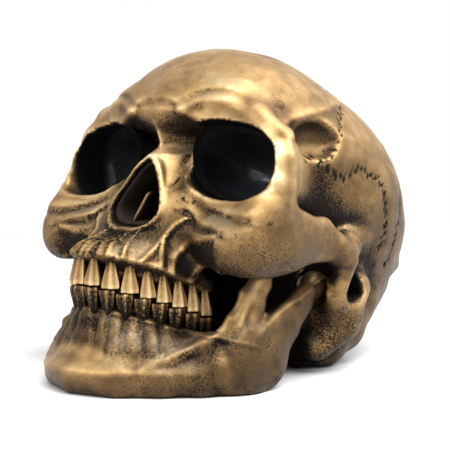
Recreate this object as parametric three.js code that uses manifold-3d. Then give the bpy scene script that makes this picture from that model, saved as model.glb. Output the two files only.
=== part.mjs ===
// Skull decoration with a hinged lower jaw, life size, in millimetres.
// The face looks along -Y, the skull's left is +X, +Z is up and the flat foot lies on z = 0.
// Working points run back from the chin and up from the foot, on the skull's left half.
import * as THREE from "three";
import Module from "manifold-3d";
import { mergeVertices } from "three/addons/utils/BufferGeometryUtils.js";

const wasm = await Module();
wasm.setup();

// Main sizes: across the cheek arches, chin to the back of the head, and foot to crown
const SKULL_WIDTH = 153.5;
const SKULL_LENGTH = 211;
const SKULL_HEIGHT = 155.5;

// Fits
const CLEARANCE = 0.3;
const RUNNING_GAP = 1.6;
const FOOT_TRIM = 3;

// Usual half thickness of a bone, and how softly two bones run together
const BONE_RADIUS = 5;
const BONE_BLEND = 4;

// Braincase: a long oval pitched down at the back, a nape below it and a forehead in front
const CASE_CENTRE = spot([0, 62.6, 55.3]);
const CASE_HALF_WIDTH = 0.417 * SKULL_WIDTH;
const CASE_HALF_LENGTH = 0.372 * SKULL_LENGTH;
const CASE_HALF_HEIGHT = 0.36 * SKULL_HEIGHT;
const CASE_PITCH = -26;
const NAPE_CENTRE = spot([0, 71.6, 32.2]);
const NAPE_RADII = spot([66.4, 21.8, 34.7]);
const FOREHEAD_CENTRE = spot([0, 43.8, 73.6]);
const FOREHEAD_RADII = spot([69.1, 20.4, 25.1]);
const CASE_BLEND = 22;

// Eye sockets: rounded-square bowls that turn inwards towards the back
const EYE_CENTRE = spot([54.7, 29.4, 65]);
const EYE_HALF_WIDTH = 24;
const EYE_HALF_HEIGHT = 18;
const EYE_DEPTH = 36;
const EYE_TURN = 18;
const EYE_LEAN = 0.22;
const EYE_DROOP = 0.1;
const EYE_SQUARENESS = 2.5;
const EYE_WALL = 4.5;
const EYE_LIP = 4;
const LINER_WALL = 1.6;

// Nose opening
const NOSE_MIDDLE_Z = 0.54 * SKULL_HEIGHT;
const NOSE_FRONT_Y = 0.171 * SKULL_LENGTH;
const NOSE_HALF_WIDTH = 16.2;
const NOSE_HEIGHT = 31;
const NOSE_DEPTH = 38;
const NOSE_LEAN = 0.42;
const NOSE_LIP = 6;
const NOSE_RIM_RADIUS = 2.8;
const NOSE_OUTLINE = [
  [0, 0.61], [0.36, 0.46], [0.62, 0.25], [0.88, 0.02], [1, -0.17], [0.8, -0.34], [0.35, -0.405], [0, -0.4],
];
const SEPTUM_THICKNESS = 2.2;

// Cheek arches, brows and ears
const ARCH_HALF_HEIGHT = 11.5;
const ARCH_FLATNESS = 2.1;
const CHEEK_HALF_HEIGHT = 13.5;
const BROW_RADIUS = 7.5;
const EAR_RADIUS = 7;
const EAR_DEPTH = 16;

// Teeth
const BITE_FRONT_Y = 0.05 * SKULL_LENGTH;
const BITE_HALF_WIDTH = 0.205 * SKULL_WIDTH;
const BITE_LENGTH = 0.218 * SKULL_LENGTH;
const BITE_HEIGHT = 0.302 * SKULL_HEIGHT;
const BITE_SLOPE = 0.36;
const BITE_GAP = 0.8;
const UPPER_TOOTH_HEIGHT = 12.2;
const LOWER_TOOTH_HEIGHT = 10.8;
const TOOTH_DEPTH = 6.8;
const TOOTH_ROOT = 4;
const UPPER_GUM = { radius: 4.9, cover: 2.7, inset: 4.6 };
const LOWER_GUM = { radius: 7.2, cover: 2.2, inset: 5 };
const GUM_WALL = { radius: 3.5, rise: 5.2, inset: 7.6 };
const UPPER_TOOTH_WIDTHS = [9.6, 9.6, 9.2, 8.2, 8, 8.4, 8, 7.4];
const LOWER_TOOTH_WIDTHS = [8, 8.2, 8.4, 8.2, 8.2, 8.6, 8.2, 7.8];

// Lower jaw and its hinge
const JAW_BORDER_RADIUS = 9.5;
const RAMUS_FLATNESS = 1.9;
const CHIN_RADII = [19, 11, 9.5];
const CONDYLE_CENTRE = spot([68.4, 49.53, 27.97]);
const CONDYLE_RADII = [7, 5.5, 5.5];
const PIN_RADIUS = 1.6;
const PIN_IN_SKULL = 9;
const PIN_IN_JAW = 12;
const BUSH_RADIUS = 3.8;
const BUSH_THICKNESS = 2;
const BOSS_RADIUS = 7;
const BOSS_LENGTH = 31;
const JAW_OPENING = 22;

// Facet sizes
const SKULL_FACET = 5.1;
const REAR_FACET = 12;
const JAW_FACET = 4.8;
const BLADE_FACET = 3.4;
const RING_SIDES = 18;
const PIN_SIDES = 16;

const radians = THREE.MathUtils.degToRad;

// A place in hundredths of half the width, of the length and of the height
function spot([x, y, z]) {
  return [(x * SKULL_WIDTH) / 200, (y * SKULL_LENGTH) / 100, (z * SKULL_HEIGHT) / 100];
}

// Bone half thicknesses, counted in usual ones
function thick(...counts) {
  return counts.map((count) => count * BONE_RADIUS);
}

// Smooth union and smooth intersection of two distances; softness counts bone blends
function join(a, b, softness) {
  const blend = softness * BONE_BLEND;
  const h = Math.max(blend - Math.abs(a - b), 0) / blend;
  return Math.min(a, b) - h * h * blend * 0.25;
}

function meet(a, b, softness) {
  return -join(-a, -b, softness);
}

// Ellipsoid pitched about X
function oval(centre, radii, pitch = 0) {
  const s = Math.sin(radians(pitch));
  const c = Math.cos(radians(pitch));
  return (x, y, z) => {
    const u = x - centre[0];
    const v = c * (y - centre[1]) + s * (z - centre[2]);
    const w = c * (z - centre[2]) - s * (y - centre[1]);
    const near = Math.hypot(u / radii[0], v / radii[1], w / radii[2]);
    const slope = Math.hypot(u / radii[0] ** 2, v / radii[1] ** 2, w / radii[2] ** 2);
    return (near * (near - 1)) / Math.max(slope, 1e-6);
  };
}

// Bone rod: rounded cones end to end; flatness thins it across X
function rod(points, radii, softness, flatness = 1) {
  return (x, y, z) => {
    let nearest = Infinity;
    for (let i = 0; i + 1 < points.length; i += 1) {
      const [a, b] = [points[i], points[i + 1]];
      const along = [(b[0] - a[0]) * flatness, b[1] - a[1], b[2] - a[2]];
      const from = [(x - a[0]) * flatness, y - a[1], z - a[2]];
      const length = along[0] ** 2 + along[1] ** 2 + along[2] ** 2;
      const dot = along[0] * from[0] + along[1] * from[1] + along[2] * from[2];
      const t = Math.min(Math.max(dot / length, 0), 1);
      const off = Math.hypot(from[0] - t * along[0], from[1] - t * along[1], from[2] - t * along[2]);
      const gap = off - (radii[i] + (radii[i + 1] - radii[i]) * t);
      nearest = nearest === Infinity ? gap : join(nearest, gap, softness);
    }
    return nearest;
  };
}

function bone(points, radii, softness, flatness) {
  return rod(points.map(spot), radii, softness, flatness);
}

function knob(centre, radii) {
  return oval(spot(centre), spot(radii));
}

// Eye socket frame: u across, v up and w inwards
const eyeTurn = [Math.sin(radians(EYE_TURN)), Math.cos(radians(EYE_TURN))];

function eyePoint(u, v, w) {
  const x = eyeTurn[1] * u - eyeTurn[0] * w;
  const y = eyeTurn[0] * u + eyeTurn[1] * w;
  const z = v - EYE_LEAN * (y + EYE_LIP) - EYE_DROOP * x;
  return [EYE_CENTRE[0] + x, EYE_CENTRE[1] + y, EYE_CENTRE[2] + z];
}

function eyeSocket(px, py, pz) {
  const [x, y, z] = [px - EYE_CENTRE[0], py - EYE_CENTRE[1], pz - EYE_CENTRE[2]];
  const u = eyeTurn[1] * x + eyeTurn[0] * y;
  const w = Math.max(eyeTurn[1] * y - eyeTurn[0] * x, 0);
  const v = z + EYE_LEAN * (y + EYE_LIP) + EYE_DROOP * x;
  const across = Math.abs(u / EYE_HALF_WIDTH) ** EYE_SQUARENESS;
  const up = Math.abs(v / EYE_HALF_HEIGHT) ** EYE_SQUARENESS;
  const flat = (across + up) ** (2 / EYE_SQUARENESS);
  return (Math.sqrt(flat + (w / EYE_DEPTH) ** 2) - 1) * EYE_HALF_HEIGHT;
}

// Dental arch in plan and the biting line, which climbs to the front
function archPoint(t) {
  const turn = (t * Math.PI) / 2;
  return [BITE_HALF_WIDTH * Math.sin(turn), BITE_FRONT_Y + BITE_LENGTH * (1 - Math.cos(turn)) ** 0.92];
}

function biteHeight(y) {
  return BITE_HEIGHT - BITE_SLOPE * (y - BITE_FRONT_Y);
}

// Gum: a rod just inside the arch, a given rise above or below the biting line
function gumRod({ radius, inset }, rise) {
  const points = [0, 0.25, 0.5, 0.75, 1].map((t) => {
    const [x, y] = archPoint(t);
    const [ahead, behind] = [archPoint(t + 0.02), archPoint(Math.max(t - 0.02, 0))];
    const run = Math.hypot(ahead[0] - behind[0], ahead[1] - behind[1]);
    const inwards = [-(ahead[1] - behind[1]) / run, (ahead[0] - behind[0]) / run];
    const sideways = t > 0 ? inwards[0] : 0;
    return [x + inset * sideways, y + inset * inwards[1], biteHeight(y) + rise];
  });
  return rod(points, points.map(() => radius), 1);
}

// Bead along the outline of the nose, slanted like the opening
const noseBead = NOSE_OUTLINE.map(([x, z]) => {
  const rise = z * (NOSE_HEIGHT + NOSE_RIM_RADIUS);
  const across = x * (NOSE_HALF_WIDTH + NOSE_RIM_RADIUS / 2);
  return [across, NOSE_FRONT_Y + NOSE_LIP + NOSE_LEAN * rise, NOSE_MIDDLE_Z + rise];
});

// Height of a soft ridge drawn along a line in one view, which fades over its half width
function ridge(line, halfWidth, height) {
  return (u, v) => {
    let nearest = Infinity;
    for (let i = 0; i + 1 < line.length; i += 1) {
      const [a, b] = [line[i], line[i + 1]];
      const along = [b[0] - a[0], b[1] - a[1]];
      const dot = (u - a[0]) * along[0] + (v - a[1]) * along[1];
      const t = Math.min(Math.max(dot / (along[0] ** 2 + along[1] ** 2), 0), 1);
      nearest = Math.min(nearest, Math.hypot(u - a[0] - t * along[0], v - a[1] - t * along[1]));
    }
    return height * Math.exp(-((nearest / halfWidth) ** 2));
  };
}

// Lines on the casting: seen from the front as x and z, or from the side as y and z
const frontLine = (points) => points.map(([x, z]) => [spot([x, 0, z])[0], spot([x, 0, z])[2]]);
const sideLine = (points) => points.map(([y, z]) => [spot([0, y, z])[1], spot([0, y, z])[2]]);
const ridges = {
  brow: ridge(
    frontLine([[0, 78.8], [16.9, 78.5], [30, 81.4], [43.6, 82.5], [59.9, 79.7], [69, 76.8]]), 3.4, 1.1),
  temple: ridge(sideLine([[33.2, 72], [37, 75.2], [46.4, 79.4], [57.3, 82.6], [64, 84.2]]), 3, 0.9),
  nape: ridge(frontLine([[0, 34.1], [20.8, 36.7], [41.7, 35.4], [59.9, 29.6]]), 3.4, 1.4),
};

// Bones of the upper skull
const bones = {
  main: oval(CASE_CENTRE, [CASE_HALF_WIDTH, CASE_HALF_LENGTH, CASE_HALF_HEIGHT], CASE_PITCH),
  nape: oval(NAPE_CENTRE, NAPE_RADII),
  forehead: oval(FOREHEAD_CENTRE, FOREHEAD_RADII),
  brow: bone(
    [[0, 32.7, 80.4], [23.5, 32.2, 81.7], [44.3, 31.8, 81],
      [65.1, 32, 77.5], [78.8, 31.5, 72], [85.3, 30.6, 65.6]],
    [0.5, 0, -0.5, -1, -1.5, -2.2].map((k) => BROW_RADIUS + k), 1),
  maxilla: knob([0, 31.8, 47.6], [46.9, 14.7, 15.4]),
  gum: gumRod(UPPER_GUM, UPPER_TOOTH_HEIGHT + UPPER_GUM.radius - UPPER_GUM.cover),
  gumWall: gumRod(GUM_WALL, GUM_WALL.rise),
  alveolus: bone(
    [[0, 13.5, 36.7], [13, 14.5, 36.7], [23.5, 18, 37.3], [31.3, 23.2, 37.9]], thick(2, 2, 1.96, 1.9), 1),
  palate: bone(
    [[0, 19, 41.2], [22.1, 21.8, 43.1], [35.2, 24.6, 43.1]], thick(1.8, 1.8, 1.9), 1),
  plate: bone([[33.9, 24.2, 45], [52.1, 23, 43.7], [70.4, 23.2, 43.7]], thick(1.6, 1.6, 1.8), 1),
  core: knob([0, 39.8, 56.6], [41.7, 16.1, 23.2]),
  pillar: bone([[85.3, 30.6, 65.6], [87.3, 28.8, 57.9], [85.3, 26.3, 50.8]], thick(1.06, 1.2, 1.6), 1),
  rim: bone(
    [[86, 26.5, 50.2], [65.1, 25.6, 49.5], [45.6, 25.4, 50.2],
      [28.7, 25.8, 54], [16.3, 27.3, 62.4], [14.3, 29.9, 70.7]],
    thick(1.7, 1.3, 1.2, 1.1, 0.86, 1.1), 1),
  cheek: bone(
    [[71.7, 22.3, 41.8], [83.4, 24.6, 43.1], [87.3, 29.4, 42.8]],
    [CHEEK_HALF_HEIGHT - 2.5, CHEEK_HALF_HEIGHT, CHEEK_HALF_HEIGHT - 0.5], 1.25, 1.35),
  arch: bone(
    [[86.6, 28.4, 42.8], [89.3, 35.1, 43.1], [87.9, 43.1, 42.4], [86, 48.1, 39.5]],
    [1.7, 0, -2.3, -5].map((k) => ARCH_HALF_HEIGHT + k), 1.25, ARCH_FLATNESS),
  hook: bone(
    [[86, 48.1, 39.5], [85.3, 50.9, 36.3], [83.4, 52.4, 32.5], [78.2, 53.1, 28.3], [71.7, 54, 23.8]],
    thick(1.1, 0.9, 0.8, 0.74, 0.7), 0.75),
  crest: bone([[78.2, 21.3, 39.2], [59.9, 21.8, 39.7], [45.6, 23.2, 39.2]], thick(1.4, 1.2, 1), 1),
  bridge: bone([[0, 35.1, 75.2], [0, 29.9, 72], [0, 24.6, 68.2]], thick(1.2, 1.3, 1), 0.75),
  nasion: knob([5.2, 27, 69.5], [9.8, 3.3, 3.9]),
  flank: bone(
    [[0, 25.6, 68.2], [10.4, 25.6, 63], [18.2, 23.2, 55.3], [24.8, 21.3, 48.9]],
    thick(1, 0.9, 0.86, 0.7), 0.75),
  noseRim: rod(noseBead, noseBead.map(() => NOSE_RIM_RADIUS), 0.5),
  root: bone([[80.8, 49.8, 38.6], [78.2, 55.5, 37.6], [74.3, 62.1, 38.6]], thick(1.2, 1.2, 0.8), 0.75),
  mastoid: knob([63.8, 60.2, 16.7], [19.5, 8.5, 16.7]),
  floor: bone([[0, 47.4, 25.7], [39.1, 53.1, 23.2], [59.9, 57.8, 19.3]], thick(4.4, 4, 3.6), 2),
  foot: bone([[46.9, 53.1, 5.8], [57.3, 55.9, 6.4], [57.3, 61.6, 7.1]], thick(2, 2.1, 2.1), 1.25),
  boss: rod(
    [[CONDYLE_CENTRE[0] - BOSS_LENGTH, CONDYLE_CENTRE[1], CONDYLE_CENTRE[2]], CONDYLE_CENTRE],
    [BOSS_RADIUS + 4, BOSS_RADIUS], 0.75),
  fossa: knob([96.4, 41.7, 59.2], [22.1, 8.1, 10.9]),
  temple: knob([86, 46.4, 71.4], [20.8, 8.5, 7.1]),
  ear: oval(spot([78.2, 55.2, 28]), [EAR_DEPTH, EAR_RADIUS - 0.5, EAR_RADIUS + 0.5]),
};

function braincase(x, y, z) {
  const softness = CASE_BLEND / BONE_BLEND;
  const d = join(bones.main(x, y, z), bones.nape(x, y, z), softness);
  return join(d, bones.forehead(x, y, z), softness);
}

// Bones of the lower jaw
const ramus = {
  blade: bone(
    [[70.4, 27, 7.7], [71.7, 32.7, 12.2], [71.7, 37.9, 17.4], [71.7, 43.6, 23.2]],
    thick(3, 2.6, 1.9, 1.3), 1, RAMUS_FLATNESS),
  coronoid: bone(
    [[70.4, 28.2, 16.7], [68.5, 31.9, 24.4], [66.5, 34.7, 32.2], [64.8, 36, 36.7]],
    thick(1.5, 1.1, 0.85, 0.65), 0.75, 1.3),
  neck: rod([spot([71.7, 41.7, 21.9]), CONDYLE_CENTRE], thick(1.2, 1), 0.5),
  condyle: oval(CONDYLE_CENTRE, CONDYLE_RADII),
};
const mandible = {
  border: bone(
    [[0, 4.5, 4.6], [23.5, 6.6, 4.6], [40.4, 11.8, 4.6],
      [57.3, 18.5, 4.8], [67.8, 26.1, 5.1], [71, 32.2, 5.8]],
    [0, 0, 0, -0.5, -1, -1].map((k) => JAW_BORDER_RADIUS + k), 1),
  gum: gumRod(LOWER_GUM, LOWER_GUM.cover - LOWER_TOOTH_HEIGHT - LOWER_GUM.radius),
  gumWall: gumRod(GUM_WALL, -GUM_WALL.rise),
  web: bone(
    [[0, 6.4, 12.9], [19.5, 8.1, 12.2], [35.2, 13, 11.6], [46.9, 19.4, 9.6], [56, 26.5, 7.7]],
    thick(1.6, 1.6, 1.8, 2, 1.9), 1),
  chin: oval(spot([0, 4, 5.5]), CHIN_RADII),
  shoulder: bone([[45.6, 16.1, 8.4], [58.6, 21.8, 10.3], [68.4, 27.5, 12.9]], thick(1.6, 1.7, 1.8), 1),
  oblique: bone(
    [[48.2, 11.6, 10.6], [54.7, 16.4, 12.5], [59.9, 20.1, 16.1],
      [65.1, 23.2, 21.2], [67.1, 27.7, 27.7], [66.4, 32, 32.8]],
    thick(0.12, 0.26, 0.4, 0.48, 0.52, 0.44), 0.75),
};

function ramusField(x, y, z) {
  const front = join(ramus.blade(x, y, z), ramus.coronoid(x, y, z), 1.25);
  return join(front, join(ramus.neck(x, y, z), ramus.condyle(x, y, z), 1), 1);
}

function jawField(sx, y, z) {
  const x = Math.abs(sx);
  let d = join(mandible.gum(x, y, z), mandible.gumWall(x, y, z), 1);
  d = join(d, mandible.web(x, y, z), 1.75);
  d = join(mandible.border(x, y, z), d, 1.75);
  d = join(d, mandible.chin(x, y, z), 1.5);
  d = join(d, mandible.shoulder(x, y, z), 2);
  d = join(d, ramusField(x, y, z), 1.75);
  d = join(d, mandible.oblique(x, y, z), 2);
  return meet(d, -z - FOOT_TRIM, 0.25);
}

// Space that the rear of the jaw sweeps from closed to open
function ramusSweep(x, y, z) {
  let nearest = Infinity;
  for (const share of [0, 0.5, 1]) {
    const s = Math.sin(radians(JAW_OPENING * share));
    const c = Math.cos(radians(JAW_OPENING * share));
    const [dy, dz] = [y - CONDYLE_CENTRE[1], z - CONDYLE_CENTRE[2]];
    const back = [CONDYLE_CENTRE[1] + c * dy + s * dz, CONDYLE_CENTRE[2] + c * dz - s * dy];
    nearest = Math.min(nearest, ramusField(x, back[0], back[1]));
  }
  return nearest;
}

function skullField(sx, y, z) {
  const x = Math.abs(sx);
  let d = join(braincase(x, y, z), bones.brow(x, y, z), 2.5);
  d = meet(d, -bones.fossa(x, y, z), 2);
  d = join(d, meet(eyeSocket(x, y, z) - EYE_WALL, EYE_CENTRE[1] + EYE_LIP - y, 0.75), 1.5);
  let face = join(bones.maxilla(x, y, z), bones.gum(x, y, z), 1.5);
  face = join(join(face, bones.alveolus(x, y, z), 1.5), bones.palate(x, y, z), 1.5);
  face = join(join(face, bones.plate(x, y, z), 1.5), bones.core(x, y, z), 2.5);
  d = join(d, join(face, bones.gumWall(x, y, z), 1), 2);
  const orbit = join(bones.pillar(x, y, z), bones.rim(x, y, z), 1.5);
  const hooked = join(bones.arch(x, y, z), bones.hook(x, y, z), 1);
  const arch = join(bones.cheek(x, y, z), join(bones.crest(x, y, z), hooked, 1.5), 2);
  d = join(d, join(orbit, arch, 2.25), 1.5);
  const bridge = join(bones.bridge(x, y, z), bones.nasion(x, y, z), 0.75);
  const nose = join(bridge, bones.flank(x, y, z), 1);
  d = join(d, join(nose, bones.noseRim(x, y, z), 0.75), 1);
  d = join(d, bones.root(x, y, z), 1.75);
  d = join(d, bones.mastoid(x, y, z), 2.5);
  d = join(d, bones.floor(x, y, z), 3);
  d = join(d, bones.foot(x, y, z), 2.5);
  d = join(d, bones.boss(x, y, z), 1);
  if (y < EYE_CENTRE[1] + EYE_HALF_WIDTH) d -= ridges.brow(x, z);
  if (x > EYE_CENTRE[0] * 0.75) d -= ridges.temple(y, z);
  if (y > NAPE_CENTRE[1]) d -= ridges.nape(x, z);
  d = meet(d, -bones.temple(x, y, z), 0.375);
  d = meet(d, -bones.ear(x, y, z), 0.5);
  d = meet(d, RUNNING_GAP - ramusSweep(x, y, z), 0.25);
  return meet(d, -z - FOOT_TRIM, 0.25);
}

// Closed surface of a field on a grid: one vertex for each sheet in a cell, drawn onto the surface
const cellEdges = [];
for (let corner = 0; corner < 8; corner += 1) {
  for (const bit of [4, 2, 1]) {
    if (!(corner & bit)) cellEdges.push([corner, corner | bit]);
  }
}
const cellFaces = [];
for (const bit of [4, 2, 1]) {
  for (const side of [0, bit]) {
    const inFace = (edge) => (edge[0] & bit) === side && (edge[1] & bit) === side;
    cellFaces.push(cellEdges.map((edge, i) => (inFace(edge) ? i : -1)).filter((i) => i >= 0));
  }
}

function sheetsOf(inside) {
  const owner = cellEdges.map((edge, i) => (inside[edge[0]] !== inside[edge[1]] ? i : -1));
  const merge = (a, b) => {
    const [from, to] = [owner[a], owner[b]];
    owner.forEach((o, i) => {
      if (o === from) owner[i] = to;
    });
  };
  for (const face of cellFaces) {
    const crossed = face.filter((i) => owner[i] >= 0);
    if (crossed.length === 2) merge(crossed[0], crossed[1]);
    if (crossed.length < 4) continue;
    for (let corner = 0; corner < 8; corner += 1) {
      const touching = crossed.filter((i) => cellEdges[i].includes(corner));
      if (inside[corner] && touching.length === 2) merge(touching[0], touching[1]);
    }
  }
  return owner;
}

function settle(field, p, cell) {
  const start = p.slice();
  const e = 0.1;
  for (let step = 0; step < 3; step += 1) {
    const d = field(p[0], p[1], p[2]);
    const g = [
      (field(p[0] + e, p[1], p[2]) - d) / e,
      (field(p[0], p[1] + e, p[2]) - d) / e,
      (field(p[0], p[1], p[2] + e) - d) / e,
    ];
    const scale = d / Math.max(g[0] ** 2 + g[1] ** 2 + g[2] ** 2, 0.3);
    for (let i = 0; i < 3; i += 1) {
      const reach = 0.45 * cell;
      p[i] = Math.min(Math.max(p[i] - scale * g[i], start[i] - reach), start[i] + reach);
    }
  }
  return p;
}

// Grid stations from low to high: close steps within a span, wide steps outside it
function stations(low, high, close, wide = close, span = [low, high]) {
  const list = [low];
  while (list[list.length - 1] < high) {
    const last = list[list.length - 1];
    list.push(last + (last >= span[0] && last < span[1] ? close : wide));
  }
  return list;
}

// The same steps to the left and right of the middle plane
function evenStations(reach, cell) {
  const end = cell * Math.ceil(reach / cell);
  return stations(-end, end - cell / 2, cell);
}

function carve(field, axes) {
  const count = axes.map((list) => list.length);
  const index = (i, j, k) => (i * count[1] + j) * count[2] + k;
  const place = (i, j, k) => [axes[0][i], axes[1][j], axes[2][k]];
  const value = new Float64Array(count[0] * count[1] * count[2]);
  for (let i = 0; i < count[0]; i += 1) {
    for (let j = 0; j < count[1]; j += 1) {
      for (let k = 0; k < count[2]; k += 1) value[index(i, j, k)] = field(...place(i, j, k));
    }
  }
  const vertices = [];
  const vertexAt = new Map();
  for (let i = 0; i + 1 < count[0]; i += 1) {
    for (let j = 0; j + 1 < count[1]; j += 1) {
      for (let k = 0; k + 1 < count[2]; k += 1) {
        const corner = (c) => value[index(i + (c >> 2), j + ((c >> 1) & 1), k + (c & 1))];
        const corners = [0, 1, 2, 3, 4, 5, 6, 7].map(corner);
        const inside = corners.map((v) => v < 0);
        if (inside.every((v) => v === inside[0])) continue;
        const owner = sheetsOf(inside);
        for (const sheet of new Set(owner.filter((o) => o >= 0))) {
          const members = cellEdges.map((edge, e) => e).filter((e) => owner[e] === sheet);
          const sum = [0, 0, 0];
          for (const e of members) {
            const [a, b] = cellEdges[e];
            const t = corners[a] / (corners[a] - corners[b]);
            [4, 2, 1].forEach((bit, axis) => {
              const from = a & bit ? 1 : 0;
              sum[axis] += from + (b & bit ? 1 : 0) * t - from * t;
            });
            vertexAt.set(index(i, j, k) * 12 + e, vertices.length);
          }
          const step = place(i + 1, j + 1, k + 1).map((c, axis) => c - place(i, j, k)[axis]);
          const p = place(i, j, k).map((c, axis) => c + (step[axis] * sum[axis]) / members.length);
          vertices.push(settle(field, p, Math.min(...step)));
        }
      }
    }
  }
  const edgeNumber = new Map(cellEdges.map((edge, e) => [edge[0] * 8 + edge[1], e]));
  const triangles = [];
  const bits = [4, 2, 1];
  for (let axis = 0; axis < 3; axis += 1) {
    const [b, c] = [(axis + 1) % 3, (axis + 2) % 3];
    for (let i = 0; i < count[0]; i += 1) {
      for (let j = 0; j < count[1]; j += 1) {
        for (let k = 0; k < count[2]; k += 1) {
          const node = [i, j, k];
          if (node[axis] + 1 >= count[axis] || !node[b] || !node[c]) continue;
          if (node[b] + 1 >= count[b] || node[c] + 1 >= count[c]) continue;
          const next = node.slice();
          next[axis] += 1;
          const [start, end] = [value[index(...node)] < 0, value[index(...next)] < 0];
          if (start === end) continue;
          const quad = [[1, 1], [0, 1], [0, 0], [1, 0]].map(([backB, backC]) => {
            const cellAt = node.slice();
            cellAt[b] -= backB;
            cellAt[c] -= backC;
            const corner = (backB ? bits[b] : 0) | (backC ? bits[c] : 0);
            return vertexAt.get(index(...cellAt) * 12 + edgeNumber.get(corner * 8 + (corner | bits[axis])));
          });
          if (!start) quad.reverse();
          const span = (m, n) => Math.hypot(...vertices[m].map((v, q) => v - vertices[n][q]));
          if (span(quad[0], quad[2]) <= span(quad[1], quad[3])) {
            triangles.push(quad[0], quad[1], quad[2], quad[0], quad[2], quad[3]);
          } else {
            triangles.push(quad[1], quad[2], quad[3], quad[1], quad[3], quad[0]);
          }
        }
      }
    }
  }
  return faceted(vertices, triangles);
}

function faceted(vertices, triangles) {
  const geometry = new THREE.BufferGeometry();
  geometry.setAttribute("position", new THREE.Float32BufferAttribute(vertices.flat(), 3));
  geometry.setIndex(triangles);
  return geometry;
}

// Closed skin over a stack of rings of equal counts; the ends are fanned shut
function lofted(rings) {
  const sides = rings[0].length;
  const vertices = rings.flat();
  const triangles = [];
  for (let r = 0; r + 1 < rings.length; r += 1) {
    for (let i = 0; i < sides; i += 1) {
      const [a, b] = [r * sides + i, r * sides + ((i + 1) % sides)];
      triangles.push(a, b, b + sides, a, b + sides, a + sides);
    }
  }
  const last = (rings.length - 1) * sides;
  for (let i = 1; i + 1 < sides; i += 1) {
    triangles.push(0, i + 1, i, last, last + i, last + i + 1);
  }
  return faceted(vertices, triangles);
}

// Solids for joining and cutting
function solid(geometry) {
  const bare = geometry.clone();
  bare.deleteAttribute("normal");
  bare.deleteAttribute("uv");
  const merged = mergeVertices(bare, 1e-4);
  const vertProperties = new Float32Array(merged.attributes.position.array);
  const triVerts = new Uint32Array(merged.index.array);
  const body = new wasm.Manifold(new wasm.Mesh({ numProp: 3, vertProperties, triVerts }));
  return body.volume() < 0 ? solid(turned(merged)) : body;
}

function turned(geometry) {
  const index = Array.from(geometry.index.array);
  for (let i = 0; i < index.length; i += 3) {
    [index[i + 1], index[i + 2]] = [index[i + 2], index[i + 1]];
  }
  geometry.setIndex(index);
  return geometry;
}

function shapeOf(body) {
  const mesh = body.getMesh();
  const geometry = new THREE.BufferGeometry();
  geometry.setAttribute("position", new THREE.Float32BufferAttribute(mesh.vertProperties, 3));
  geometry.setIndex(Array.from(mesh.triVerts));
  geometry.computeVertexNormals();
  return geometry;
}

// The bulk of a cut body, without crumbs
function largest(body) {
  return body.decompose().reduce((a, b) => (a.volume() > b.volume() ? a : b));
}

function mirrored(geometry) {
  return turned(geometry.clone().scale(-1, 1, 1));
}

// Round bar along X from one station to another on the hinge axis
function hingeBar(radius, from, to) {
  const bar = new THREE.CylinderGeometry(radius, radius, to - from, PIN_SIDES);
  bar.rotateZ(Math.PI / 2);
  return bar.translate((from + to) / 2, CONDYLE_CENTRE[1], CONDYLE_CENTRE[2]);
}

// Eye bowl: rings of a rounded square that close like an ellipsoid; inset draws every wall in
function eyeRings(inset, shares) {
  const [a, b, depth] = [EYE_HALF_WIDTH - inset, EYE_HALF_HEIGHT - inset, EYE_DEPTH - inset];
  return shares.map((share) => {
    const size = share > 0 ? Math.sqrt(1 - share * share) : 1;
    const ring = [];
    for (let i = 0; i < RING_SIDES; i += 1) {
      const angle = (2 * Math.PI * i) / RING_SIDES;
      const power = 2 / EYE_SQUARENESS;
      const u = a * size * Math.sign(Math.cos(angle)) * Math.abs(Math.cos(angle)) ** power;
      const v = b * size * Math.sign(Math.sin(angle)) * Math.abs(Math.sin(angle)) ** power;
      ring.push(eyePoint(u, v, depth * share));
    }
    return ring;
  });
}

const eyeStations = [0.22, 0.42, 0.6, 0.76, 0.88, 0.96, 0.995];
const eyeCut = lofted(eyeRings(0, [-0.7, 0, ...eyeStations]));
const linerOuter = solid(lofted(eyeRings(CLEARANCE, [EYE_LIP / EYE_DEPTH, ...eyeStations])));
const linerInner = solid(lofted(eyeRings(CLEARANCE + LINER_WALL, [-0.2, 0, ...eyeStations])));
const linerShape = shapeOf(largest(linerOuter.subtract(linerInner)));

// Nose opening: pear-shaped rings, slanted like the face in front and closing inwards
function noseRings(inset, shares) {
  const outline = new THREE.CatmullRomCurve3(
    [...NOSE_OUTLINE, ...NOSE_OUTLINE.slice(1, -1).reverse().map(([x, z]) => [-x, z])]
      .map(([x, z]) => new THREE.Vector3(x * (NOSE_HALF_WIDTH - inset), 0, z * (NOSE_HEIGHT - 2 * inset))),
    true, "centripetal");
  const points = outline.getSpacedPoints(RING_SIDES).slice(0, RING_SIDES);
  return shares.map((share) => {
    const size = share > 0 ? Math.sqrt(1 - share * share) : 1;
    const slant = share > 0 ? 1 - share : 1;
    return points.map((p) => [
      p.x * size,
      NOSE_FRONT_Y + NOSE_LIP + (NOSE_DEPTH - inset) * share + NOSE_LEAN * p.z * slant,
      NOSE_MIDDLE_Z + p.z * size,
    ]);
  });
}

const noseStations = [0.02, 0.3, 0.55, 0.75, 0.9, 0.98];
const noseCut = lofted(noseRings(0, [-0.9, -0.02, ...noseStations]));
const noseOuter = solid(lofted(noseRings(CLEARANCE, noseStations)));
const noseInner = solid(lofted(noseRings(CLEARANCE + LINER_WALL, [-0.3, -0.02, ...noseStations])));
const noseFree = solid(lofted(noseRings(2 * CLEARANCE + LINER_WALL, noseStations)));
const noseLiner = shapeOf(largest(noseOuter.subtract(noseInner)));
const septumSheet = new THREE.BoxGeometry(SEPTUM_THICKNESS, NOSE_DEPTH * 2, NOSE_HEIGHT * 0.72);
septumSheet.translate(0, NOSE_FRONT_Y + NOSE_LIP, NOSE_MIDDLE_Z - NOSE_HEIGHT * 0.24);
const septumShape = shapeOf(largest(solid(septumSheet).intersect(noseFree)));

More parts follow.
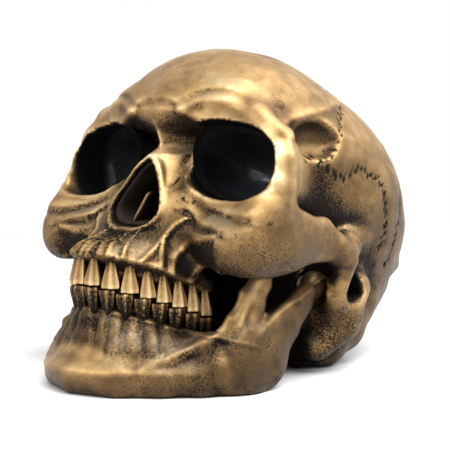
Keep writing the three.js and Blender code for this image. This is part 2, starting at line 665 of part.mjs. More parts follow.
// Dental arch measured along its run
const archTable = [];
for (let i = 0; i <= 400; i += 1) {
  const [x, y] = archPoint(i / 400);
  const before = archTable[i - 1];
  const run = before ? before.run + Math.hypot(x - before.x, y - before.y) : 0;
  archTable.push({ x, y, run });
}

function archAt(run) {
  const i = Math.max(1, archTable.findIndex((p) => p.run >= run));
  const [a, b] = [archTable[i - 1], archTable[i]];
  const t = (run - a.run) / (b.run - a.run);
  const length = b.run - a.run;
  return {
    x: a.x + (b.x - a.x) * t,
    y: a.y + (b.y - a.y) * t,
    along: [(b.x - a.x) / length, (b.y - a.y) / length],
  };
}

// Tooth: a five-sided wedge, broad at the biting edge, ridged in front, with a root peg
function toothShape(station, width, height, up, grow) {
  const [tx, ty] = station.along;
  const bite = biteHeight(station.y) + (up * BITE_GAP) / 2;
  const depth = TOOTH_DEPTH / 2;
  const levels = [
    { rise: -grow, half: 0.47 * width, inner: depth, outer: depth },
    { rise: 0.2 * height, half: 0.46 * width, inner: depth, outer: depth * 1.1 },
    { rise: height, half: 0.27 * width, inner: depth * 0.8, outer: depth * 0.8 },
    { rise: height + TOOTH_ROOT + grow, half: 0.22 * width, inner: depth * 0.6, outer: depth * 0.3 },
  ];
  return lofted(levels.map((level) => {
    const half = level.half + grow;
    const [inner, outer] = [level.inner + grow, level.outer + grow];
    const lean = (1.6 * level.rise) / height;
    const outline = [[-0.76, -inner], [0.76, -inner], [1, outer * 0.5], [0.15, outer], [-1, outer * 0.35]];
    return outline.map(([a, out]) => [
      station.x + tx * a * half + ty * (out - lean),
      station.y + ty * a * half - tx * (out - lean),
      bite + up * level.rise,
    ]);
  }));
}

function toothRow(widths, height, up) {
  const total = widths.reduce((a, b) => a + b);
  const stretch = archTable[archTable.length - 1].run / total;
  let run = 0;
  return widths.map((share) => {
    const width = share * stretch;
    const station = archAt(run + width / 2);
    run += width;
    return {
      tooth: shapeOf(solid(toothShape(station, width, height, up, 0))),
      socket: solid(toothShape(station, width, height, up, CLEARANCE)),
    };
  });
}

const upperRow = toothRow(UPPER_TOOTH_WIDTHS, UPPER_TOOTH_HEIGHT, 1);
const lowerRow = toothRow(LOWER_TOOTH_WIDTHS, LOWER_TOOTH_HEIGHT, -1);

function cutBothSides(body, tool) {
  return body.subtract(tool).subtract(solid(mirrored(shapeOf(tool))));
}

// Hinge stations along X: boss, bush and condyle meet in a narrow slot
const slotStart = CONDYLE_CENTRE[0] - CONDYLE_RADII[0] - BUSH_THICKNESS - CLEARANCE;
const slotEnd = slotStart + BUSH_THICKNESS + 2 * CLEARANCE;
const pinStart = slotStart - PIN_IN_SKULL;
const pinEnd = slotEnd + PIN_IN_JAW;
const slotRadius = BOSS_RADIUS + 5;
const bore = solid(hingeBar(PIN_RADIUS + CLEARANCE, pinStart - CLEARANCE, pinEnd + CLEARANCE));
const condyleRoom = solid(hingeBar(slotRadius, slotStart, CONDYLE_CENTRE[0] + BOSS_RADIUS));
const bossRoom = solid(hingeBar(slotRadius, 0, slotEnd));

// The ground, which cuts both feet flat
const ground = solid(
  new THREE.BoxGeometry(2 * SKULL_WIDTH, 3 * SKULL_LENGTH, 4 * FOOT_TRIM).translate(0, 0, -2 * FOOT_TRIM));

// Upper skull
const spread = CASE_HALF_WIDTH + 22;
const backEnd = CASE_CENTRE[1] + CASE_HALF_LENGTH + 10;
const topEnd = CASE_CENTRE[2] + CASE_HALF_HEIGHT + 34;
const skullGrid = [
  evenStations(spread, SKULL_FACET),
  stations(0, backEnd, SKULL_FACET, REAR_FACET, [0, CONDYLE_CENTRE[1] + 15]),
  stations(-SKULL_FACET, topEnd, SKULL_FACET, REAR_FACET, [-SKULL_FACET, EYE_CENTRE[2] + 24]),
];
let skullBody = solid(carve(skullField, skullGrid));
skullBody = skullBody.subtract(ground);
skullBody = cutBothSides(skullBody, solid(eyeCut));
skullBody = skullBody.subtract(solid(noseCut));
for (const { socket } of upperRow) skullBody = cutBothSides(skullBody, socket);
skullBody = cutBothSides(skullBody, condyleRoom);
skullBody = cutBothSides(skullBody, bore);

// Lower jaw
const jawGrid = [
  evenStations(spread, BLADE_FACET),
  stations(-14, CONDYLE_CENTRE[1] + 16, JAW_FACET),
  stations(-JAW_FACET, 72, JAW_FACET),
];
let jawBody = solid(carve(jawField, jawGrid)).subtract(ground);
for (const { socket } of lowerRow) jawBody = cutBothSides(jawBody, socket);
jawBody = cutBothSides(jawBody, bossRoom);
jawBody = cutBothSides(jawBody, bore);

// Materials
const bronze = { color: 0x8a6a35, roughness: 0.42, metalness: 0.75 };
const ivoryBronze = { color: 0xa88a52, roughness: 0.38, metalness: 0.7 };
const black = { color: 0x0b0c0e, roughness: 0.18, metalness: 0.1 };
const umber = { color: 0x1d150b, roughness: 0.6, metalness: 0.2 };
const steel = { color: 0x9a9a9c, roughness: 0.3, metalness: 1 };
const nylon = { color: 0xd8d2c2, roughness: 0.5, metalness: 0 };

const skull = new THREE.Group();

function addPiece(name, geometry, finish) {
  const piece = new THREE.Mesh(geometry, new THREE.MeshStandardMaterial(finish));
  piece.name = name;
  skull.add(piece);
}

function addPair(name, geometry, finish) {
  const [before, after] = name.split("SIDE");
  addPiece(`${before}left${after}`, geometry, finish);
  addPiece(`${before}right${after}`, mirrored(geometry), finish);
}

addPiece("cranium", shapeOf(largest(skullBody)), bronze);
addPiece("lower_jaw", shapeOf(largest(jawBody)), bronze);
addPair("SIDE_eye_socket_liner", linerShape, black);
addPiece("nasal_cavity_liner", noseLiner, umber);
addPiece("nasal_septum", septumShape, bronze);
upperRow.forEach(({ tooth }, i) => addPair(`upper_tooth_SIDE_${i + 1}`, tooth, ivoryBronze));
lowerRow.forEach(({ tooth }, i) => addPair(`lower_tooth_SIDE_${i + 1}`, tooth, ivoryBronze));
addPair("SIDE_jaw_hinge_pin", shapeOf(solid(hingeBar(PIN_RADIUS, pinStart, pinEnd))), steel);
const bushBody = solid(hingeBar(BUSH_RADIUS, slotStart + CLEARANCE, slotEnd - CLEARANCE)).subtract(bore);
addPair("SIDE_jaw_hinge_bush", shapeOf(bushBody), nylon);

// The origin stands at the middle of the foot print
const bounds = new THREE.Box3().setFromObject(skull);
const middle = bounds.getCenter(new THREE.Vector3());
skull.position.set(0, -middle.y, 0);

export default skull;
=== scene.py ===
"""Antique bronze skull decoration with a hinged lower jaw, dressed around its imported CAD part."""

import math

import bmesh
import bpy
import numpy as np
from bpy.props import FloatProperty, FloatVectorProperty, PointerProperty
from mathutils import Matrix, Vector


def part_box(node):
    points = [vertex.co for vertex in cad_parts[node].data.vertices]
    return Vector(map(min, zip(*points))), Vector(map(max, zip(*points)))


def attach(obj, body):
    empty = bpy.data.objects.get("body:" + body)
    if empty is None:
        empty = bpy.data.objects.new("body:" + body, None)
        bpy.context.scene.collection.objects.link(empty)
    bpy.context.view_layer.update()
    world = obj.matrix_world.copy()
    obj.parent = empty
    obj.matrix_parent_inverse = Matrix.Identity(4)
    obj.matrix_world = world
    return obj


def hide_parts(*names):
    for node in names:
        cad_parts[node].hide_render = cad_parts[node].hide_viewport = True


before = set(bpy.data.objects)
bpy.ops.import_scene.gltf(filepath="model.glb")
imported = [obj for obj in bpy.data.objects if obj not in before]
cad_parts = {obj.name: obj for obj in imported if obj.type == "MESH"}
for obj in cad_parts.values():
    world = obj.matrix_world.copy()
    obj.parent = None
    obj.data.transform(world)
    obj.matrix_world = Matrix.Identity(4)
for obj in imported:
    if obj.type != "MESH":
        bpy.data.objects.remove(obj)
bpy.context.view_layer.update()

bl_info = {
    "name": "Bronze skull decoration",
    "version": (1, 0, 0),
    "blender": (4, 5, 0),
    "location": "View3D > Sidebar > Skull",
    "description": "Builds the cast skull, its hinged jaw, teeth, socket liners and stage",
    "category": "Object",
}

# The sculptor's frame: millimetres, the chin at y = 0, the foot at z = 0, the skull's left at +x
PIN_LOW, PIN_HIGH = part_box("left_jaw_hinge_pin")
HINGE = (104.508, 43.493)
CHIN_Y = HINGE[0] - 500.0 * (PIN_LOW.y + PIN_HIGH.y)
HINGE_OPEN = 22.0  # degrees
SIDES = (("left", 1), ("right", -1))
WELD = 1e-7  # metres: points nearer than this are one

# Eye sockets
EYE_CENTRE = (41.98, 62.03, 101.08)
EYE_HALF = (24.0, 18.0)
EYE_DEPTH = 36.0
EYE_TURN = math.radians(18.0)
EYE_LEAN, EYE_DROOP, EYE_SQUARE, EYE_LIP = 0.22, 0.1, 2.5, 4.0
LINER_GAP, LINER_WALL, LINER_SIDES = 0.3, 1.6, 72

# Nose opening
NOSE_Y, NOSE_Z, NOSE_DEPTH, NOSE_LEAN = 42.08, 83.97, 38.0, 0.42
NOSE_WIDTH, NOSE_HEIGHT = 16.2, 31.0
NOSE_RIM, SEPTUM_SIDES = 0.03, 20
PEAR = np.array([
    (0, 0.61), (0.36, 0.46), (0.62, 0.25), (0.88, 0.02), (1, -0.17), (0.8, -0.34), (0.35, -0.405), (0, -0.4),
])

# Teeth
BITE_Y, BITE_WIDTH, BITE_LENGTH, BITE_Z, BITE_SLOPE, BITE_GAP = 10.55, 31.47, 46.0, 46.96, 0.36, 0.8
ARCH_RADIUS, ARCH_RUN = 39.5, 62.0  # run along the dental arch by its turn in radians, and along half of it
UPPER_WIDTHS = np.array([9.6, 9.6, 9.2, 8.2, 8, 8.4, 8, 7.4])
LOWER_WIDTHS = np.array([8, 8.2, 8.4, 8.2, 8.2, 8.6, 8.2, 7.8])
UPPER_HEIGHT, LOWER_HEIGHT = 12.2, 10.8
TOOTH_DEPTH, TOOTH_ROOT, TOOTH_LEAN = 6.8, 4.0, 1.6
UPPER_GUM, LOWER_GUM = (14.4, 4.9, 4.6), (-15.8, 7.2, 5.0)
UPPER_WALL, LOWER_WALL = (4.2, 3.7, 8.4), (-4.2, 3.7, 8.4)

# Drawn lines: ridges over the roots of the teeth as run along the dental arch and height over the bite
RIDGES = [
    [(2.5, 12.8), (3.5, 19), (5.5, 27)],
    [(9, 13.8), (8.2, 19), (7.4, 25)],
    [(15.3, 14.4), (13.6, 22.5), (10.5, 30)],
    [(22.7, 14.8), (22, 19.5), (21.4, 24.6), (22.4, 32)],
    [(30.5, 14.8), (35, 20.9), (39, 27.6), (44.3, 34.9), (50, 41)],
    [(39.3, 15), (39.6, 22.9), (40.6, 29)],
    [(44.2, 14), (45, 20.3), (48.2, 26.2), (51.5, 32)],
    [(52, 13), (54.5, 18.5), (58, 24), (62, 28)],
]
GUM_LINE = [(0, 12), (15, 13.7), (23, 14.2), (32, 14.7), (40, 14.5), (47, 13.3), (54, 12.4), (62, 11.6)]
# Lines on the front as x and z, and on the side as y and z
BROW_LINE = [
    (0, 127.2), (6.7, 127.4), (13, 126.6), (18.4, 128.6), (23, 131.2), (28, 132.6), (33.5, 132.8),
    (39, 131.6), (46, 128.6), (53, 124),
]
CHEEK_LINE = [(31.3, 82.1), (42, 78.1), (56, 75.8), (68, 75.4)]
UNDER_LINE = [(28, 77.5), (36, 72.5), (46, 69.8), (56, 69.5)]
TEMPLE_LINE = [(70, 112), (78, 117), (88, 121), (98, 123.5), (110, 125.5), (121, 128.5), (135, 131)]
CROWN_SEAM = [
    (86, 101), (92.5, 102), (103.8, 102.5), (111.5, 107.2), (114.5, 113), (121.5, 120.4), (129, 127),
    (134, 138), (138, 148), (140, 158),
]
SCALE_SEAM = [
    (100.7, 100.2), (106.8, 95.5), (113, 93.1), (120.4, 96.6), (128.2, 97.1), (137.8, 92.7), (144.6, 86.5),
    (148.3, 71.5), (146, 58),
]
REAR_SEAM = [(196, 122), (184, 104), (172, 88), (163, 70), (156, 50)]
# Front of the bone between the eyes: height, depth in the middle, half width there and slope beside it
NOSE_ROOT = np.array([
    (88, 40, 13, 0.5), (92, 44.5, 10.5, 0.8), (95, 46.5, 8.5, 1), (98, 48.4, 6, 1.1), (101, 49.6, 3.6, 1),
    (104, 50.2, 2, 1), (106, 52.5, 1, 1), (108, 54.5, 0, 0.95), (110, 55.2, 0, 0.95), (112, 54.6, 0, 0.95),
    (114, 53.6, 0, 0.85), (117, 52, 0, 0.6), (120, 50.6, 0, 0.36), (123, 49.4, 0, 0.2), (126, 48.6, 0, 0.1),
    (129, 48, 0, 0.05), (132, 44, 0, 0),
])
NAPE_LINE = [(0, 53), (16, 57), (32, 55), (46, 46)]


def join(a, b, soft):
    """Smooth union of two distances: the smaller one, rounded where they come within soft of each other."""
    h = np.maximum(soft - np.abs(a - b), 0) / soft
    return np.minimum(a, b) - h * h * soft * 0.25


def meet(a, b, soft):
    """Smooth intersection: the union of the outsides, turned inside out."""
    return -join(-a, -b, soft)


def oval(p, centre, radii, pitch=0.0):
    """Ellipsoid pitched about X: the scaled radius less one, over its slope."""
    s, c = math.sin(math.radians(pitch)), math.cos(math.radians(pitch))
    u, y, z = p[0] - centre[0], p[1] - centre[1], p[2] - centre[2]
    v, w = c * y + s * z, c * z - s * y
    near = np.sqrt((u / radii[0]) ** 2 + (v / radii[1]) ** 2 + (w / radii[2]) ** 2)
    slope = np.sqrt((u / radii[0] ** 2) ** 2 + (v / radii[1] ** 2) ** 2 + (w / radii[2] ** 2) ** 2)
    return near * (near - 1) / np.maximum(slope, 1e-6)


def rod(p, points, radii, soft, flat=1.0):
    """Rounded cones end to end: distance to each leg less a radius that runs along it, flattened across X."""
    found = None
    for a, b, ra, rb in zip(points[:-1], points[1:], radii[:-1], radii[1:]):
        leg = ((b[0] - a[0]) * flat, b[1] - a[1], b[2] - a[2])
        u, v, w = (p[0] - a[0]) * flat, p[1] - a[1], p[2] - a[2]
        t = np.clip((u * leg[0] + v * leg[1] + w * leg[2]) / (leg[0] ** 2 + leg[1] ** 2 + leg[2] ** 2), 0, 1)
        away = np.sqrt((u - t * leg[0]) ** 2 + (v - t * leg[1]) ** 2 + (w - t * leg[2]) ** 2)
        gap = away - (ra + (rb - ra) * t)
        found = gap if found is None else join(found, gap, soft)
    return found


def seam(u, v, points):
    """Drawn line on a flat view: signed distance to the nearest leg of a polyline, and the run along it."""
    best, side, run, before = None, None, None, 0.0
    for (au, av), (bu, bv) in zip(points[:-1], points[1:]):
        length = math.hypot(bu - au, bv - av)
        du, dv = (bu - au) / length, (bv - av) / length
        t = np.clip((u - au) * du + (v - av) * dv, 0, length)
        away = np.hypot(u - au - t * du, v - av - t * dv)
        turn = np.where((v - av) * du - (u - au) * dv < 0, -1.0, 1.0)
        if best is None:
            best, side, run = away, turn, t
        else:
            nearer = away < best
            best = np.where(nearer, away, best)
            side = np.where(nearer, turn, side)
            run = np.where(nearer, before + t, run)
        before += length
    return best * side, run


def soft_line(distance, width):
    """Bell curve across a drawn line."""
    return np.exp(-np.square(distance / width))


def ramp(value, low, high):
    """Straight rise from 0 at low to 1 at high."""
    return np.clip((value - low) / (high - low), 0, 1)


def within(fields, p, low, high, far=30.0):
    """Works out a field only for the points inside a box, and gives a far distance elsewhere."""
    inside = np.ones(p[0].shape, bool)
    for value, a, b in zip(p, low, high):
        inside &= (value > a) & (value < b)
    found = np.full(p[0].shape, far, p[0].dtype)
    if inside.any():
        found[inside] = fields(tuple(value[inside] for value in p))
    return found


LATTICE_SIZE = 24
LATTICE = np.random.default_rng(11).uniform(-1, 1, (LATTICE_SIZE,) * 3).astype(np.float32)
CORNERS = [(i, j, k) for i in (0, 1) for j in (0, 1) for k in (0, 1)]


def rough(p, length):
    """Smooth random unevenness of a given length: random heights on a lattice, eased between its corners."""
    cell, share = [], []
    for value in p:
        at = value / length + 100.0
        floor = np.floor(at)
        f = at - floor
        cell.append(floor.astype(np.int32) % LATTICE_SIZE)
        share.append(f * f * (3 - 2 * f))
    total = 0.0
    for corner in CORNERS:
        weight = 1.0
        for f, step in zip(share, corner):
            weight = weight * (f if step else 1 - f)
        spot = tuple((c + step) % LATTICE_SIZE for c, step in zip(cell, corner))
        total = total + weight * LATTICE[spot]
    return total


def eye_frame(p):
    """Socket frame of a point: u across, v up and w inwards, turned, leant and drooped like the eye."""
    x, y, z = p[0] - EYE_CENTRE[0], p[1] - EYE_CENTRE[1], p[2] - EYE_CENTRE[2]
    s, c = math.sin(EYE_TURN), math.cos(EYE_TURN)
    return c * x + s * y, z + EYE_LEAN * (y + EYE_LIP) + EYE_DROOP * x, c * y - s * x


def eye_field(p):
    """Bowl of a rounded square: the squared-off radius of u and v, closed by an ellipse in w."""
    u, v, w = eye_frame(p)
    flat = (np.abs(u / EYE_HALF[0]) ** EYE_SQUARE + np.abs(v / EYE_HALF[1]) ** EYE_SQUARE) ** (2 / EYE_SQUARE)
    return (np.sqrt(flat + np.square(np.maximum(w, 0) / EYE_DEPTH)) - 1) * EYE_HALF[1]


def pear_reach(angle):
    """Half outline of the nose opening as a reach from its middle, by the angle from straight up (mm)."""
    points = PEAR * (NOSE_WIDTH, NOSE_HEIGHT)
    dense = np.stack([np.interp(np.linspace(0, 7, 400), np.arange(8), points[:, i]) for i in (0, 1)], 1)
    spread = np.concatenate([dense[:0:-1] * (-1, 1), dense, dense[-2::-1] * (-1, 1)])
    kernel = np.hanning(61)
    smooth = np.stack([np.convolve(spread[:, i], kernel / kernel.sum(), "same") for i in (0, 1)], 1)[399:799]
    turn = np.arctan2(np.abs(smooth[:, 0]), smooth[:, 1])
    return np.interp(np.abs(angle), turn, np.hypot(smooth[:, 0], smooth[:, 1]))


def nose_field(p):
    """Pear-shaped pocket: its outline shrinks as a half ellipse from the slanted mouth inwards."""
    rise = p[2] - NOSE_Z
    share = (p[1] - NOSE_Y - NOSE_LEAN * rise) / (NOSE_DEPTH - NOSE_LEAN * rise)
    size = np.sqrt(np.clip(1 - np.square(np.maximum(share, 0)), 0.02, 1))
    reach = pear_reach(np.arctan2(p[0], rise)) * size
    return (np.hypot(p[0], rise) / reach - 1) * 9.0


def nose_edge(p):
    """Thin raised rim: a round bead along the mouth of the nose pocket, just outside its pear outline."""
    rise = p[2] - NOSE_Z
    away = np.hypot(p[0], rise) - pear_reach(np.arctan2(p[0], rise)) - 0.9
    front = p[1] - (NOSE_Y + 0.3 + NOSE_LEAN * rise - 0.012 * np.square(np.minimum(rise, 0)))
    return np.hypot(away, 0.75 * front) - 1.5


def arch_point(t):
    """Dental arch in plan: a sine across and an eased cosine backwards."""
    turn = np.asarray(t) * math.pi / 2
    return BITE_WIDTH * np.sin(turn), BITE_Y + BITE_LENGTH * (1 - np.cos(turn)) ** 0.92


def bite_height(y):
    """Height of the biting line at a depth: it falls steadily to the back."""
    return BITE_Z - BITE_SLOPE * (y - BITE_Y)


def arch_place(p):
    """Where a point lies by the dental arch: the run along it and the height over the bite (mm)."""
    turn = np.arctan2(p[0] / BITE_WIDTH, (BITE_Y + BITE_LENGTH - p[1]) / BITE_LENGTH)
    return ARCH_RADIUS * turn, p[2] - bite_height(p[1])


def tooth_stations(widths):
    """Middle of each tooth along the arch: place, direction along the row and width stretched to fill it."""
    t = np.linspace(0, 1, 1201)
    x, y = arch_point(t)
    run = np.concatenate([[0], np.cumsum(np.hypot(np.diff(x), np.diff(y)))])
    wide = widths * run[-1] / widths.sum()
    middle = np.cumsum(wide) - wide / 2
    px, py = np.interp(middle, run, x), np.interp(middle, run, y)
    ax = np.interp(middle + 0.3, run, x) - np.interp(middle - 0.3, run, x)
    ay = np.interp(middle + 0.3, run, y) - np.interp(middle - 0.3, run, y)
    length = np.hypot(ax, ay)
    return [tuple(row) for row in np.stack([px, py, ax / length, ay / length, wide], 1)]


def gum(p, rise, radius, inset):
    """Gum: a rod just inside the dental arch, a given rise above or below the biting line."""
    t = np.array([0, 0.25, 0.5, 0.75, 1.0])
    x, y = arch_point(t)
    x1, y1 = arch_point(t + 0.02)
    x0, y0 = arch_point(np.maximum(t - 0.02, 0))
    run = np.hypot(x1 - x0, y1 - y0)
    inx, iny = np.where(t > 0, -(y1 - y0) / run, 0), (x1 - x0) / run
    points = np.stack([x + inset * inx, y + inset * iny, bite_height(y) + rise], 1).tolist()
    return rod(p, points, [radius] * 5, 4.0)


def ramus(p):
    """Rising branch of the jaw: blade, coronoid point, neck and condyle."""
    blade = rod(p, [(54, 57, 12), (55, 69, 19), (55, 80, 27), (55, 92, 36)], (15, 12.5, 8.8, 6), 4, 1.9)
    horn = rod(p, [(54, 57, 26), (52.6, 62.5, 37), (51.3, 69.5, 46.5), (49.7, 76, 57)],
               (7, 5.2, 4.4, 3.2), 3, 1.35)
    neck = rod(p, [(55, 88, 34), (52.5, HINGE[0], HINGE[1])], (6, 5), 2)
    head = oval(p, (52.5, HINGE[0], HINGE[1]), (6, 5.3, 5.5))
    return join(join(blade, horn, 3), join(neck, head, 4), 4)


def ramus_sweep(p):
    """Space that the rising branch passes through as the jaw opens."""
    found = None
    for degrees in (0, HINGE_OPEN / 2, HINGE_OPEN):
        s, c = math.sin(math.radians(degrees)), math.cos(math.radians(degrees))
        y, z = p[1] - HINGE[0], p[2] - HINGE[1]
        turned = ramus((p[0], HINGE[0] + c * y + s * z, HINGE[1] + c * z - s * y))
        found = turned if found is None else np.minimum(found, turned)
    return found


def face_bones(p):
    """Upper jaw, palate and cheek plates, with the core of the face behind them."""
    d = join(oval(p, (0, 67, 74), (36, 31, 24)), gum(p, *UPPER_GUM), 6)
    roots = rod(p, [(0, 28.5, 57), (10, 30.5, 57), (18, 38, 57.5), (24, 49, 58)], (10, 10, 10, 9.5), 4)
    d = join(d, roots, 6)
    d = join(d, rod(p, [(0, 40, 64), (17, 46, 67), (27, 52, 67)], (9, 9, 9.5), 4), 6)
    d = join(d, rod(p, [(26, 51, 70), (40, 48.5, 68), (54, 49, 68)], (8, 8, 9), 4), 6)
    d = join(d, oval(p, (0, 84, 88), (32, 34, 36)), 10)
    return join(d, gum(p, *UPPER_WALL), 4)


def folds(p):
    """Drapery over the tooth roots: thin ridges on hollowed ground, a bead at the gum; positive cuts in."""
    run, high = arch_place(p)
    ground = ramp(high, 14.5, 18.5) * ramp(high, 38, 26)
    ridge = 0.0
    for line in RIDGES:
        away, _ = seam(run, high, line)
        ridge = np.maximum(ridge, soft_line(away, 1.5))
    bead, _ = seam(run, high, GUM_LINE)
    return ground - 1.7 * ridge - 0.7 * soft_line(bead, 1.2) + soft_line(bead + 3.2, 1.8)


def cheek_bones(p):
    """Orbit pillar and lower rim, cheek, cheek arch with its hook, and the crest under the cheek."""
    pillar = rod(p, [(65.5, 64.5, 102), (67, 60.8, 90), (65.5, 55.5, 79)], (5.3, 6, 8), 4)
    rim = rod(p, [(66, 56, 78), (50, 54, 77), (35, 53.5, 78), (22, 54.5, 84), (12.5, 57.5, 97),
                  (11, 63, 110)], (8.5, 6.5, 6, 5.5, 4.3, 5.5), 4)
    cheek = rod(p, [(55, 47, 65), (64, 52, 67), (67, 62, 66.5)], (11, 13.5, 13), 5, 1.35)
    arch = rod(p, [(66.5, 60, 66.5), (68.5, 74, 67), (67.5, 91, 66), (66, 101.5, 61.5)],
               (13.2, 11.5, 9.2, 6.5), 5, 2.1)
    hook = rod(p, [(67, 102.5, 61.5), (67, 109.5, 55.5), (65.5, 109.5, 49), (63.5, 108.5, 43),
                   (60.5, 110, 36), (55, 117, 28)], (6, 5, 4, 4, 5, 7), 3)
    arch = join(arch, hook, 4)
    crest = rod(p, [(60, 45, 61), (46, 46, 61.7), (35, 49, 61)], (7, 6, 5), 4)
    return join(join(pillar, rim, 6), join(cheek, join(crest, arch, 6), 8), 9)


def face_edges(p):
    """Fine edges of the face: lip under the eye, crest inside its corner and the bead round the nose."""
    lip = rod(p, [(26.7, 49.6, 88.4), (35.3, 49.8, 84.6), (48.4, 50, 82.7), (60, 49.4, 83), (67, 50, 85),
                  (70.3, 53, 89)], (0.9, 1.3, 1.4, 1.4, 1.2, 0.6), 2)
    crest = rod(p, [(16.5, 64.5, 104), (17, 62.8, 101), (17.5, 60.8, 98), (19, 55.5, 94), (22, 52, 90.5),
                    (26.7, 49.5, 88.4)], (0.7, 1.0, 1.0, 1.0, 1.0, 0.9), 2)
    return np.minimum(np.minimum(lip, crest), nose_edge(p))


def nose_bones(p):
    """Bridge with its knob under the brow, and the flanks of the nose."""
    knob = oval(p, (4, 57, 108), (7.5, 7, 6))
    bridge = join(rod(p, [(0, 74, 117), (0, 63, 112), (0, 52, 106)], (6, 6.5, 5), 3), knob, 3)
    flank = rod(p, [(0, 54, 106), (8, 54, 98), (14, 49, 86), (19, 45, 76)], (5, 4.5, 4.3, 3.5), 3)
    return join(bridge, flank, 4)


def nose_root(p):
    """Room in front of the deep-set root of the nose, whose bone falls back on both sides like a roof."""
    depth, half, slope = (np.interp(p[2], NOSE_ROOT[:, 0], NOSE_ROOT[:, i]) for i in (1, 2, 3))
    front = depth + slope * np.clip(p[0] - half, 0, 15)
    walls = np.maximum(0.75 * (p[1] - front), p[0] - 28)
    ends = np.maximum(86 + 0.25 * p[0] - p[2], p[2] - 131 + 0.58 * p[0])
    return np.maximum(walls, ends)


def braincase(p):
    """Long pitched oval, a nape below it and a forehead in front, run softly together."""
    d = join(oval(p, (0, 132.1, 86), (64, 78.5, 56), -26), oval(p, (0, 151.1, 50.1), (51, 46, 54)), 22)
    return join(d, oval(p, (0, 92.4, 114.4), (53, 43, 39)), 22)


def base_bones(p):
    """Arch root with the facet over the ear, mastoid, floor, foot and the boss that holds the hinge pin."""
    d = join(rod(p, [(63, 106, 61), (61, 118, 61.5), (57, 131, 63)], (6, 6.5, 4), 3),
             rod(p, [(56, 127, 40), (54, 122, 25), (49, 111, 13)], (10, 9.5, 7), 5), 10)
    d = join(d, rod(p, [(0, 100, 40), (28, 112, 36), (40, 124, 34)], (22, 19, 15), 8), 12)
    foot = rod(p, [(34, 113, 9), (38, 128, 11.5), (37.5, 142, 18), (35, 151, 28)], (9, 11, 12.5, 14), 5)
    d = join(d, foot, 5)
    return join(d, rod(p, [(21.5, *HINGE), (52.5, *HINGE)], (11, 7), 3), 4)


def zigzag(run):
    """Wander of a suture along its run."""
    return 0.8 * np.sin(1.3 * run) + 0.7 * np.sin(2.9 * run + 0.8) + 0.5 * np.sin(0.4 * run)


def stitch(run):
    """Uneven depth of a suture along its run."""
    return 0.55 + 0.45 * np.sin(1.9 * run + 1.0) * np.sin(0.7 * run)


def sutures(p):
    """How far the sutures cut: stitched zigzag lines over crown, temple and back, and one along the top."""
    x, y, z = p
    crown, run = seam(y, z, CROWN_SEAM)
    cut = stitch(run) * soft_line(crown + zigzag(run), 0.9) * ramp(y, 82, 86)
    scale, run = seam(y, z, SCALE_SEAM)
    cut = np.maximum(cut, ramp(x, 26, 36) * stitch(run) * soft_line(scale + zigzag(run), 0.9))
    rear, run = seam(y, z, REAR_SEAM)
    cut = np.maximum(cut, stitch(run) * soft_line(rear + zigzag(run), 0.9) * ramp(y, 148, 152))
    return np.maximum(cut, soft_line(x - 0.5 * np.sin(0.9 * y), 0.8) * ramp(z, 112, 122) * ramp(y, 134, 138))


def skull_relief(p):
    """Lines drawn on the casting: brow crease, slots by the nose, folds under the eye, temple line, sutures
    and the ridge of the nape; positive cuts in."""
    x, y, z = p
    side = ramp(x, 26, 36)
    across, _ = seam(x, z, BROW_LINE)
    crease = ramp(y, 92, 76) * ramp(x, 52, 40) * (0.35 + 0.65 * ramp(x, 8, 22))
    cut = crease * (0.9 * soft_line(across, 1.5) - 0.8 * soft_line(across + 3.6, 2.6))
    nasion, _ = seam(x, z, [(0, 116), (6, 115), (13, 111.5)])
    cut += ramp(y, 74, 66) * 0.5 * soft_line(nasion, 2.4)
    slot, _ = seam(x, z, [(13.0, 103), (13.5, 97), (15.0, 91)])
    cut += ramp(y, 70, 64) * 1.4 * soft_line(slot, 1.2)
    fold, _ = seam(x, z, CHEEK_LINE)
    cut += ramp(y, 62, 54) * (0.9 * soft_line(fold, 2.2) - 0.5 * soft_line(fold - 4.0, 2.6))
    fold, _ = seam(x, z, UNDER_LINE)
    cut += ramp(y, 58, 50) * (0.8 * soft_line(fold, 2.0) - 0.5 * soft_line(fold - 3.6, 2.4))
    temple, _ = seam(y, z, TEMPLE_LINE)
    cut -= side * 0.9 * soft_line(temple, 2.6)
    scale, _ = seam(y, z, SCALE_SEAM)
    cut += 0.9 * sutures(p) - side * 0.5 * soft_line(scale - 5.0, 4.0)
    nape, _ = seam(x, z, NAPE_LINE)
    return cut - ramp(y, 150, 165) * (1.4 * soft_line(nape, 3.0) - 0.9 * soft_line(nape + 6.0, 4.0))


